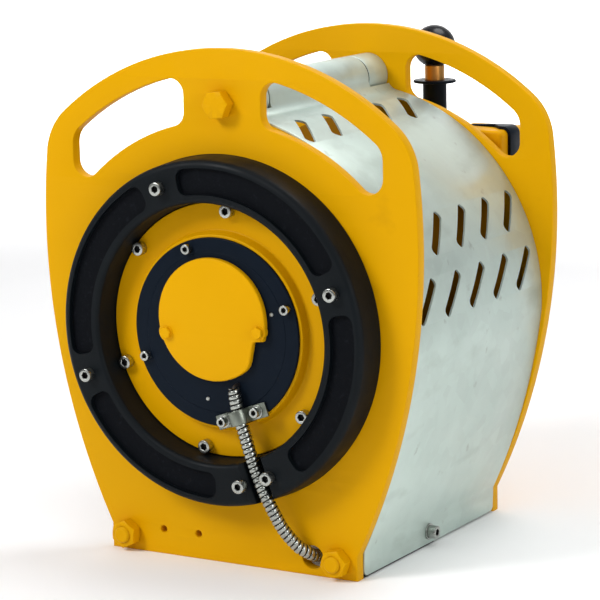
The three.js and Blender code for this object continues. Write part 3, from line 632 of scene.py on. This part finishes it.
def ring_body():
    profile = [(121, -0.3), (165, -0.3), (162.6, RING_FACE), (122.9, RING_FACE)]
    body = lathe(profile, 240, radius=[0.6, 1.2, 6.5, 4.5], steps=8)
    tools = []
    for start, end in ((28, 102), (118, 192), (208, 272), (-52, 12)):
        steps = int((end - start) / 1.5)
        outline = arc(0, 0, 155.5, start, end, steps) + arc(0, 0, 130.5, end, start, steps)
        sizes = [0] * len(outline)
        for i in (0, steps, steps + 1, len(outline) - 1):
            sizes[i] = 9
        tools.append(slab([fillet_wide(outline, steps, 9)], RING_FACE - 4, RING_FACE + 5, 0.01, 0))
    hole = [(0, RING_FACE - 5), (4.6, RING_FACE - 5), (4.6, 4), (0, 4)]
    tools += [lathe(hole, 24, *polar(RING_PCD_R, a)) for a in RING_ANGLES]
    half, floor, lip = 9.2, -17, RING_FACE - 6
    section = fillet([(-half, floor), (half, floor), (half, RING_FACE + 5), (half + 5, RING_FACE),
                      (half + 5, lip), (-half - 5, lip), (-half - 5, RING_FACE),
                      (-half, RING_FACE + 5)], [2.5, 2.5, 5, 3, 0, 0, 3, 5], 5)
    bar = slab([section], -33, 33, 0.01, 0)
    basis = Matrix(((0, 0, 1), (1, 0, 0), (0, 1, 0))).transposed().to_4x4()
    bar.transform(Matrix.Rotation(rad(70), 4, "Y") @ Matrix.Translation((140, 0, 0)) @ basis)
    tools.append(bar)
    for tool in tools:
        body = carve(body, tool)
    return soften(body, 0.9, 3, 40)


def fillet_wide(outline, steps, r):
    """Rounds the four corners of an annular sector whose sides are made of short segments."""
    start, end = outline[0], outline[steps]
    big, small = math.hypot(*start), math.hypot(*outline[-1])
    a0, a1 = heading((0, 0), start), heading((0, 0), end)
    if a1 < a0:
        a1 += 360

    def corner(radius, inward, angle, way):
        mid = radius - inward * r
        offset = math.degrees(math.asin(r / mid)) * way
        return polar(mid, angle + offset), angle + offset

    c1, b1 = corner(big, 1, a0, 1)
    c2, b2 = corner(big, 1, a1, -1)
    c3, b3 = corner(small, -1, a1, -1)
    c4, b4 = corner(small, -1, a0, 1)
    return (arc(*c1, r, a0 - 90, b1, 8) + arc(0, 0, big, b1, b2, steps)[1:-1]
            + arc(*c2, r, b2, a1 + 90, 8) + arc(*c3, r, a1 + 90, b3 + 180, 8)
            + arc(0, 0, small, b3, b4, steps)[1:-1] + arc(*c4, r, b4 + 180, a0 + 270, 8))


def bumper():
    made = piece("bumper_moulding", ring_body(), "frame", RUBBER, ["bumper_ring"],
                 looks=[RUBBER, POCKET])
    floor = (RING_FACE + 5) * MM + ORIGIN.y
    for face in made.data.polygons:
        if abs(face.center.y - floor) < 0.4 * MM and abs(face.normal.y) > 0.9:
            face.material_index = 1


def screws(name, radius, angles, seat, size, length):
    for i, angle in enumerate(angles):
        turn = 0.3 + i * 0.37
        bm = socket_screw(bmesh.new(), *polar(radius, angle), seat - 0.3, size, length, turn)
        piece(f"{name}_{i + 1}_socket", bm, "frame", ZINC, [f"{name}_{i + 1}"])


# ---- brake --------------------------------------------------------------------------------
FLANGE_FACE, BOSS_FACE, COVER_FACE = -6.3, -16, -19.6


def brake_housing():
    profile = [(31, 6.3), (74, 6.3), (74, BOSS_FACE), (91.5, BOSS_FACE), (94.2, FLANGE_FACE),
               (120.6, FLANGE_FACE), (120.6, -0.3), (95.7, -0.3), (95.7, 16), (40, 16), (40, 58),
               (31, 58)]
    sizes = [0.4, 0.4, 0.4, 1.6, 2.2, 1.0, 0.2, 0.2, 0.6, 0.6, 0.6, 0.6]
    body = lathe(profile, 192, radius=sizes, steps=5)
    notch = box(89, 112, BOSS_FACE - 3, FLANGE_FACE - 0.1, -11, 11, 2, 3)
    notch.transform(Matrix.Rotation(rad(70), 4, "Y"))
    body = soften(carve(body, notch), 0.5, 2, 40)
    piece("brake_housing_flange", body, "frame", YELLOW, ["brake_flange"])
    screws("flange_screw", FLANGE_PCD_R, FLANGE_ANGLES, FLANGE_FACE, 8, 17)

    cover = [(0, COVER_FACE), (75.2, COVER_FACE), (75.8, COVER_FACE + 0.6),
             (88.9, COVER_FACE + 0.6), (89.3, BOSS_FACE - 0.3), (73.7, BOSS_FACE - 0.3),
             (73.7, -12.5), (62, -12.5),
             (62, BOSS_FACE - 0.3), (0, BOSS_FACE - 0.3)]
    body = lathe(cover, 192, radius=[0, 0.3, 0.2, 0.9, 0.2, 0.2, 0.2, 0.2, 0.2, 0], steps=4)
    piece("brake_front_cover", body, "frame", BLACK, ["brake_cover"])
    screws("cover_screw", 82, COVER_ANGLES, COVER_FACE + 0.6, 6, 20)
    dowels = bmesh.new()
    for x, z in ((-9.9, -63.5), (61.4, 22.1)):
        y = COVER_FACE
        dowel = [(0, y - 1.2), (1.6, y - 1.0), (2.0, y - 0.5), (2.0, y + 2), (0, y + 2)]
        lathe(dowel, 20, x, z, dowels)
    piece("cover_dowels", dowels, "frame", ZINC)


CAP_X, CAP_Z, CAP_R, EARS = -0.7, 13, 58, ((-49.3, -2.3, 9.5), (51, 5.6, 6.9))


def cap_outline():
    bite = [(66, -2.4), (45.6, -4), (44.2, -5.4), (40.4, -24), (38.6, -28.4), (35, -33), (34, -52)]
    out = []
    for i in range(360):
        a = rad(i)
        ux, uz = math.cos(a), math.sin(a)
        r = CAP_R
        for ex, ez, er in EARS:
            dx, dz = ex - CAP_X, ez - CAP_Z
            along = dx * ux + dz * uz
            off = dx * uz - dz * ux
            if abs(off) < er and along > 0:
                r = max(r, along + math.sqrt(er * er - off * off))
        for (x0, z0), (x1, z1) in zip(bite, bite[1:]):
            x0, x1, z0, z1 = x0 - CAP_X, x1 - CAP_X, z0 - CAP_Z, z1 - CAP_Z
            det = (x1 - x0) * uz - (z1 - z0) * ux
            if abs(det) < 1e-9:
                continue
            t = (z0 * ux - x0 * uz) / det
            reach = (x0 + t * (x1 - x0)) * ux + (z0 + t * (z1 - z0)) * uz
            if 0 <= t <= 1 and reach > 0:
                r = min(r, reach)
        out.append((CAP_X + r * ux, CAP_Z + r * uz))
    return out


def brake_cap():
    face = COVER_FACE - 0.3
    piece("brake_cap_disc", slab([cap_outline()], face - 6.6, face, 1.6, 3), "frame", YELLOW,
          ["brake_cap"])
    bolts = bmesh.new()
    for (x, z, _), turn in zip(EARS, (0.2, 0.6)):
        top = face - 6.6
        lathe([(0, top - 0.5), (6.1, top - 0.5), (6.1, top + 1), (0, top + 1)], 40, x, z, bolts,
              radius=0.3)
        hex_head(bolts, 10, top - 4.6, top - 0.5, x, z, turn=turn)
    piece("cap_bolts", bolts, "frame", YELLOW)


# ---- conduit and clamp --------------------------------------------------------------------
ROUTE = [(23.6, -28.2, -48.6), (25.4, -27.5, -62), (28, -26.9, -76.2), (33, -26.8, -89),
         (38.3, -26.6, -106.3), (44.6, -26.6, -124.6), (52.5, -26.6, -142.8), (61.2, -25, -161.2),
         (69.7, -19.8, -180.6), (79.9, -12, -196.6), (84.9, -6.8, -201.9), (88.2, 0, -206.8),
         (89.4, 9, -209.6), (89.6, 18, -210.2)]


def smooth_path(points, per=24):
    """A Catmull-Rom line through the points."""
    pts = [Vector(p) for p in points]
    pts = [pts[0] * 2 - pts[1], *pts, pts[-1] * 2 - pts[-2]]
    out = []
    for a, b, c, d in zip(pts, pts[1:], pts[2:], pts[3:]):
        for k in range(per):
            t = k / per
            out.append(0.5 * (2 * b + (c - a) * t + (2 * a - 5 * b + 4 * c - d) * t * t
                              + (3 * b - a - 3 * c + d) * t ** 3))
    return out + [pts[-2]]


def even(path, step):
    out, left = [path[0]], step
    for a, b in zip(path, path[1:]):
        length = (b - a).length
        at = left
        while at <= length:
            out.append(a.lerp(b, at / length))
            at += step
        left = at - length
    return out


def sweep(path, radius_at, segs=40):
    """A tube whose radius may depend on the distance along it and the angle round it."""
    bm, rings = bmesh.new(), []
    side = Vector((1, 0, 0))
    run = 0.0
    for i, p in enumerate(path):
        ahead = path[min(i + 1, len(path) - 1)] - path[max(i - 1, 0)]
        ahead.normalize()
        side = (side - ahead * side.dot(ahead)).normalized()
        other = ahead.cross(side)
        if i:
            run += (p - path[i - 1]).length
        ring = []
        for k in range(segs):
            a = 2 * PI * k / segs
            r = radius_at(run, a)
            ring.append(p + (side * math.cos(a) + other * math.sin(a)) * r)
        rings.append(ring)
    return loft(bm, [[path[0]], *rings, [path[-1]]])


PITCH = 4.7      # one turn of the conduit's strip
STRIP_STEP = 0.36


def strip_phase(run, a):
    """Where a point lies in its turn of strip, 0 to 1, and how loose the strip is there."""
    loose = max(0.0, 1 - run / 12)
    return (run / PITCH - a / (2 * PI)) % 1, loose


def crown(run, a):
    phase, loose = strip_phase(run, a)
    start, end = 0.09 + 0.03 * loose, 0.91 - 0.03 * loose
    return 1 / (1 + math.exp(-(phase - start) * 46)) - 1 / (1 + math.exp(-(phase - end) * 46))


def strip_radius(run, a):
    """Interlocked strip: one helical crown a pitch, tapering to the cut end of the strip."""
    phase, loose = strip_phase(run, a)
    body = 6.2 - 1.3 * loose ** 2.2
    return body - (1.1 + 0.3 * loose) * (1 - crown(run, a)) - 0.3 * (1 - math.sin(PI * phase))


def conduit():
    path = even(smooth_path(ROUTE), STRIP_STEP)
    segs = 44
    body = sweep(path, strip_radius, segs)
    body.faces.ensure_lookup_table()
    # Faces in the grooves between crowns take material 1: dark colour painted for the shade in the
    # strip's grooves.
    for i in range(len(path) - 1):
        for k in range(segs):
            if crown(i * STRIP_STEP, 2 * PI * (k + 0.5) / segs) < 0.5:
                body.faces[segs * (i + 1) + k].material_index = 1
    piece("interlocked_conduit", body, "frame", CONDUIT, ["brake_conduit"])
    hose = smooth_path([(25.2, -27.6, -60), (24, -28.1, -52.5), (23.6, -26.6, -49),
                        (23.6, -23, -47.6), (23.6, -17, -47.4)], 10)
    piece("brake_hose_elbow", sweep(hose, lambda run, a: 2.2, 24), "frame", HOSE)


def clamp():
    half, width, thick, hump = 28.1, 13.7, 2, 7.4
    rise = -26.8 - COVER_FACE
    top = arc(0, -rise, hump + thick, 0, 180, 20)
    under = arc(0, -rise, hump, 180, 0, 20)
    outline = (top + [(-hump - thick, thick), (-half, thick), (-half, 0), (-hump, 0)]
               + under + [(hump, 0), (half, 0), (half, thick), (hump + thick, thick)])
    body = slab([outline], -width / 2, width / 2, 0.45)
    c, s = math.cos(rad(19.3)), math.sin(rad(19.3))
    basis = Matrix(((c, 0, s), (-s, 0, c), (0, -1, 0))).transposed().to_4x4()
    body.transform(Matrix.Translation((28.2, COVER_FACE - 0.3, -76.1)) @ basis)
    piece("saddle_clamp", body, "frame", CLAMP, ["conduit_clamp"])
    bm = bmesh.new()
    for i, along in enumerate((-20.5, 17.4)):
        x, z = 28.2 + along * c, -76.1 + along * s
        y = COVER_FACE - 2.3
        lathe([(0, y - 1), (6.2, y - 1), (6.2, y), (0, y)], 36, x, z, bm, radius=0.25)
        socket_screw(bm, x, z, y - 1, 6, 9, 0.5 + i)
    piece("clamp_screws", bm, "frame", ZINC)


# ---- drum ---------------------------------------------------------------------------------
def drum():
    profile = [(52.3, 26), (60.3, 26), (60.3, 54), (80, 54), (80, 26), (172, 26), (172, 32),
               (88, 32), (88, 260), (172, 260), (172, 266), (80, 266), (80, 64), (46, 64), (46, 60),
               (52.3, 60)]
    sizes = [0.5, 0.5, 1, 1, 1, 1.5, 1.5, 4, 4, 1.5, 1.5, 1, 1, 1, 1, 0.5]
    body = lathe(profile, 192, radius=sizes, steps=4)
    # The drum takes the darker copy of the yellow paint: its shade inside the frame is painted in.
    piece("rope_drum", body, "drum", SHADED_DRUM_YELLOW, ["drum"])


# ---- gear housing, motor ------------------------------------------------------------------
def motor():
    profile = [(57, 188), (66, 188), (66, REAR_Y - 6), (80, REAR_Y - 6), (80, REAR_END + 0.3),
               (104, REAR_END + 0.3), (104, 303.7), (57, 303.7)]
    body = lathe(profile, 160, radius=[0.6, 0.6, 1, 0.6, 0.4, 1.2, 1.6, 0.6], steps=4)
    piece("gear_case", body, "frame", YELLOW, ["gear_housing"])
    bolts = bmesh.new()
    for i in range(8):
        x, z = polar(94, 15 + 45 * i)
        flip = socket_screw(bmesh.new(), 0, 0, 0, 7, 6, i * 0.4)
        flip.transform(Matrix.Translation((x, 303.7, z)) @ Matrix.Rotation(PI, 4, "Z"))
        bolts = merged(bolts, flip)
    piece("gear_case_screws", bolts, "frame", ZINC)

    fins = [(26, 304), (84, 304)]
    for i in range(5):
        y = 313 + i * 9.5
        fins += [(84, y), (79.5, y + 1.5), (79.5, y + 5), (84, y + 6.5)]
    fins += [(84, 372), (64, 372), (64, 312), (26, 312)]
    body = lathe(fins, 160, radius=0.8, steps=3)
    piece("air_motor_casing", body, "frame", YELLOW, ["motor_housing"])
    cap = [(0, 391.4), (24, 391.4), (26, 388.6), (34, 388.6), (36, 391.2), (58, 391.2), (78, 387.4),
           (84, 381.4), (84, 372.3), (26, 372.3), (26, 383.4), (0, 383.4)]
    body = lathe(cap, 160, radius=[0, 1, 1, 1, 1, 4, 5, 4, 1, 1, 1, 0], steps=4)
    piece("motor_rear_cap", body, "frame", YELLOW, ["motor_end_cap"])
    bolts = bmesh.new()
    for i in range(6):
        x, z = polar(70, 30 + 60 * i)
        flip = socket_screw(bmesh.new(), 0, 0, 0, 6, 6, i * 0.3)
        flip.transform(Matrix.Translation((x, 385.2, z)) @ Matrix.Rotation(PI, 4, "Z"))
        bolts = merged(bolts, flip)
    piece("motor_cap_screws", bolts, "frame", ZINC)


# ---- valve, lever, fittings ---------------------------------------------------------------
LEVER_X, LEVER_Y, PIVOT_Z = 43.5, 339, 136


def upright(profile, radius=0.0, segs=64, steps=4):
    """A turned body about the lever's upright axis; the profile is (radius, z)."""
    bm = lathe(profile, segs, radius=radius, steps=steps)
    bm.transform(Matrix.Translation((LEVER_X, LEVER_Y, 0)) @ Matrix.Rotation(PI / 2, 4, "X"))
    return bm


def valve():
    body = box(14, 73.5, 316, 362, 62, 122, 2.5, 3)
    saddle = lathe([(0, 310), (84.3, 310), (84.3, 368), (0, 368)], 128)
    body = carve(body, saddle)
    ears = []
    for y in (322, 348):
        outline = fillet([(LEVER_X - 14, 119), (LEVER_X + 14, 119), (LEVER_X + 14, 144),
                          (LEVER_X - 14, 144)], [0, 0, 8, 8], 6)
        ears.append(slab([outline, circle(LEVER_X, PIVOT_Z, 5.3, 32)], y, y + 8, 0.6))
    piece("valve_body", merged(body, *ears), "frame", BLACK, ["valve_block"])
    plugs = bmesh.new()
    for x, z in ((24, 110), (63, 110), (63, 84), (26, 92)):
        flip = socket_screw(bmesh.new(), 0, 0, 0, 5, 3, x)
        flip.transform(Matrix.Translation((x, 362, z)) @ Matrix.Rotation(PI, 4, "Z"))
        plugs = merged(plugs, flip)
    piece("valve_screws", plugs, "frame", ZINC)
    pin = lathe([(0, 320), (5, 320), (5, 358), (0, 358)], 32, LEVER_X, PIVOT_Z, radius=0.8)
    piece("lever_pivot_pin", pin, "lever", ZINC, ["valve_pin"])


def lever():
    foot = box(LEVER_X - 9, LEVER_X + 9, 330.4, 347.6, 126, 149, 1.2, 2)
    hole = lathe([(0, 325), (5.3, 325), (5.3, 352), (0, 352)], 32, LEVER_X, PIVOT_Z)
    foot = carve(foot, hole)
    stem = upright([(0, 148), (10, 148), (10, 216.4), (0, 216.4)], [0, 0.5, 0.8, 0])
    piece("lever_stem", merged(foot, stem), "lever", BRASS, ["lever_rod"])
    sleeve = upright([(10.4, 151), (12.2, 151), (12.2, 198.6), (21.8, 198.6), (21.8, 201.6),
                      (10.4, 201.6)], [0.3, 0.6, 1.5, 1.2, 1.2, 0.3])
    piece("lock_collar", sleeve, "sleeve", BLACK, ["lock_sleeve"])
    ball = [(0, 217)] + [(21.6 * math.cos(rad(a)), 235.7 + 21.6 * math.sin(rad(a)))
                         for a in range(-60, 90, 5)] + [(0, 257.3)]
    piece("ball_knob", upright(ball), "lever", GLOSS, ["lever_knob"])


def fittings():
    x, z, y = LEVER_X, 98, 362.3
    body = hex_head(bmesh.new(), 26, y + 10, y, x, z, 7, 0.0, True)
    profile = [(7, y + 8), (11.5, y + 8)]
    for i in range(8):
        at = 374 + i * 1.9
        profile += [(10.6, at), (11.5, at + 0.95)]
    profile += [(10.6, 390), (7, 390)]
    lathe(profile, 48, x, z, body)
    piece("air_supply_port", body, "frame", ZINC, ["air_inlet"])
    ribs = [(5, 0), (14, 0), (15, 2), (15, 9), (13, 10)]
    for i in range(7):
        at = 12 + i * 4.6
        ribs += [(12.2, at), (14.4, at + 1.0), (14.4, at + 2.8), (12.2, at + 3.8)]
    ribs += [(11, 48), (5, 48)]
    body = lathe(ribs, 64, radius=0.4, steps=2)
    body.transform(Matrix.Translation((13.7, LEVER_Y, 104)) @ Matrix.Rotation(PI / 2, 4, "Z"))
    piece("exhaust_muffler", body, "frame", BRASS, ["muffler"])


# ---- rear cover ---------------------------------------------------------------------------
def rear_cover():
    x0, x1, y0, y1, z0, z1 = 74.2, 135.5, 304.2, 364, 60, 156.5
    outline = fillet([(x0, z0), (x1, z0), (x1, z1), (x0, z1)], [1, 3, 6, 3], 6)
    body = slab([outline], y0, y1, 3, 4)
    saddle = lathe([(0, 295), (84.3, 295), (84.3, 372), (0, 372)], 128)
    hollow = box(x0 + 3, x1 - 3, y0 + 3, y1 - 3, z0 - 6, z1 - 3)
    body = carve(carve(body, saddle), hollow)
    piece("control_cover", body, "frame", YELLOW, ["rear_cover"])
    bx, bz, t, bend = x1 + 0.3, z1 + 0.3, 3, 6
    outline = ([(115, bz + t)] + arc(bx - bend, bz - bend, bend + t, 90, 0, 12)
               + [(bx + t, 130.3), (bx, 130.3)] + arc(bx - bend, bz - bend, bend, 0, 90, 10)
               + [(85, bz), (85, bz + 1.2)])
    strap = slab([outline], 319, 340, 0.01, 0)
    plan = slab([[(80, 318), (127, 318), (114, 333), (80, 337)]], -170, -150, 0.01, 0)
    plan.transform(Matrix.Rotation(-PI / 2, 4, "X"))
    foot = slab([fillet([(342, 148), (340, 146.3), (333.4, 130.3), (331, 128), (342, 128)],
                        [0, 4, 3, 0, 0])], -145, -130, 0.01, 0)
    foot.transform(Matrix.Rotation(-PI / 2, 4, "Z"))
    strap = soften(carve(carve(strap, plan), foot), 0.5, 2, 30)
    piece("cover_strap_painted", strap, "frame", BLACK, ["cover_strap"])


# ---- guard --------------------------------------------------------------------------------
ARC_X, ARC_Z, ARC_R = -13, -3, 204
ROLL_R, SHEET_T = 22, 2
GUARD_Y = (12.6, 278.8)


def guard_line():
    roll, roll_r, bend = (0, HINGE_Z), ROLL_R - SHEET_T / 2, 14
    belly_c = (ARC_X, ARC_Z)
    centre = crossing(belly_c, ARC_R + bend, roll, roll_r + bend)
    start = heading(belly_c, centre)
    out = arc(*roll, roll_r, 290, heading(roll, centre), 60)
    out += arc(*centre, bend, heading(centre, roll), heading(centre, belly_c) + 360, 16)[1:]
    belly = arc(*belly_c, ARC_R, start, -3, 90)
    out += belly[1:]
    a, b, r = Vector(belly[-1]), Vector((136.4, -201)), 620
    chord = b - a
    normal = Vector((chord.y, -chord.x)).normalized()
    c = (a + b) / 2 + normal * math.sqrt(r * r - chord.length_squared / 4)
    out += arc(c.x, c.y, r, heading(c, a), heading(c, b), 24)[1:]
    return out + [(136.0, -212), (135.6, -225)]


def ribbon(line, half):
    sides = [[], []]
    for i, p in enumerate(line):
        a, b = Vector(line[max(i - 1, 0)]), Vector(line[min(i + 1, len(line) - 1)])
        along = (b - a).normalized()
        for side, sign in zip(sides, (1, -1)):
            side.append((p[0] - along.y * half * sign, p[1] + along.x * half * sign))
    return sides[0] + sides[1][::-1]


def vent(angle, y):
    length, width = 25, 5.8
    outline = fillet([(-length, -width), (length, -width), (length, width), (-length, width)],
                     4.2, 5)
    tool = slab([outline], -9, 9, 0.01, 0)
    a = rad(angle)
    down, along, out = (Vector((math.sin(a), 0, -math.cos(a))), Vector((0, 1, 0)),
                        Vector((math.cos(a), 0, math.sin(a))))
    basis = Matrix((down, along, out)).transposed().to_4x4()
    tool.transform(Matrix.Translation((ARC_X + ARC_R * out.x, y, ARC_Z + ARC_R * out.z)) @ basis
                   @ Matrix.Rotation(rad(-45), 4, "Z") @ Matrix.Rotation(-PI / 2, 4, "X"))
    return tool


def guard():
    line = guard_line()
    body = slab([ribbon(line, SHEET_T / 2)], *GUARD_Y, 0.3, 1)
    tools = [vent(angle, y + i * 49.6) for angle, y in ((67, 38), (26.2, 48.4), (10, 46.2))
             for i in range(5)]
    y0, y1 = GUARD_Y
    for a, b in ((y0 - 2, 50.8), (239.8, y1 + 2)):
        tools.append(lathe([(0, a), (24.8, a), (24.8, b), (0, b)], 64, 0, HINGE_Z))
    for y, way in ((y1, -1), (y0, 1)):
        corner = slab([[(y + way * 6, -226), (y - way * 2, -226), (y - way * 2, -219)]
                       + arc(y + way * 6, -219, 6, *((180, 270) if way > 0 else (0, -90)), 8)],
                      120, 150, 0.01, 0)
        corner.transform(Matrix(((0, 1, 0, 0), (1, 0, 0, 0), (0, 0, 1, 0), (0, 0, 0, 1))))
        tools.append(corner)
    hole = lathe([(0, -8), (4.6, -8), (4.6, 8), (0, 8)], 24)
    hole.transform(Matrix.Translation((136, 140, -213)) @ Matrix.Rotation(PI / 2, 4, "Z"))
    tools.append(hole)
    body = carve(body, merged(*tools))
    piece("slotted_guard", body, "guard", SHEET, ["guard"])
    screw = socket_screw(bmesh.new(), 0, 0, -1.4, 8, 4, 0.2)
    lathe([(0, -1.4), (8, -1.4), (8, 0), (0, 0)], 40, bm=screw, radius=0.3)
    screw.transform(Matrix.Translation((137.2, 140, -213)) @ Matrix.Rotation(PI / 2, 4, "Z"))
    piece("guard_screw_socket", screw, "guard", ZINC, ["guard_screw"])
    # A thin dark strip under the sheet's lower edge, standing in for the shadow line along it:
    # painted shadow.
    shade_strip = box(124, 136, 13, 152, -226.6, -224.6, 0.4, 2)
    piece("guard_shade_strip", shade_strip, "guard", PAINTED_SHADE)


# ---- surroundings -------------------------------------------------------------------------
def studio():
    scene = bpy.context.scene
    scene.view_settings.view_transform = "Standard"
    look = Look("pale_floor", (252, 252, 252), 0.8, specular=0.1)
    look.tint(look.noise(3, 2), (248, 248, 248), 0.3, 0.7, 0.5)
    bm = bmesh.new()
    profile = [(-30, 0)] + [(6 + 3 * math.sin(rad(a)), 3 - 3 * math.cos(rad(a)))
                            for a in range(0, 91, 9)] + [(9, 20)]
    rows = [[bm.verts.new((x, y, z)) for x in (-30, 30)] for y, z in profile]
    for a, b in zip(rows, rows[1:]):
        bm.faces.new((a[0], a[1], b[1], b[0]))
    mesh = bpy.data.meshes.new("floor")
    bm.to_mesh(mesh)
    bm.free()
    mesh.materials.append(look.mat)
    mesh.shade_smooth()
    floor = bpy.data.objects.new("floor", mesh)
    scene.collection.objects.link(floor)
    floor.rotation_euler = (0, 0, rad(30))

    world = bpy.data.worlds.new("studio")
    world.use_nodes = True
    tree = world.node_tree
    sky = tree.nodes["Background"]
    where = tree.nodes.new("ShaderNodeTexCoord")
    split = tree.nodes.new("ShaderNodeSeparateXYZ")
    ramp = tree.nodes.new("ShaderNodeValToRGB")
    tree.links.new(where.outputs["Generated"], split.inputs["Vector"])
    tree.links.new(split.outputs["Z"], ramp.inputs["Fac"])
    tree.links.new(ramp.outputs["Color"], sky.inputs["Color"])
    for stop, (at, level) in zip(ramp.color_ramp.elements, ((0.12, 0.16), (0.55, 1.0))):
        stop.position, stop.color = at, (level, level, level * 1.02, 1)
    sky.inputs["Strength"].default_value = 0.55
    scene.world = world
    for name, place, target, size, power in (
        ("key", (-1.4, -2.4, 2.2), (0, 0, 0.2), 1.2, 58),
        ("fill", (2.8, -1.2, 1.2), (0, 0, 0.2), 1.2, 20),
        ("top", (0.5, 0.7, 2.6), (0, 0, 0.2), 1.5, 30),
        ("backdrop", (-1.5, 3.2, 3.4), (-3, 7.2, 0.8), 3, 420),
    ):
        data = bpy.data.lights.new(name, "AREA")
        data.shape, data.size, data.energy = "DISK", size, power
        lamp = bpy.data.objects.new(name, data)
        scene.collection.objects.link(lamp)
        lamp.location = place
        lamp.rotation_euler = (Vector(target) - Vector(place)).to_track_quat("-Z", "Y").to_euler()


plates()
through_bolts()
bumper()
screws("ring_screw", RING_PCD_R, RING_ANGLES, RING_FACE, 8, 40)
brake_housing()
brake_cap()
conduit()
clamp()
drum()
motor()
valve()
lever()
fittings()
rear_cover()
guard()
studio()
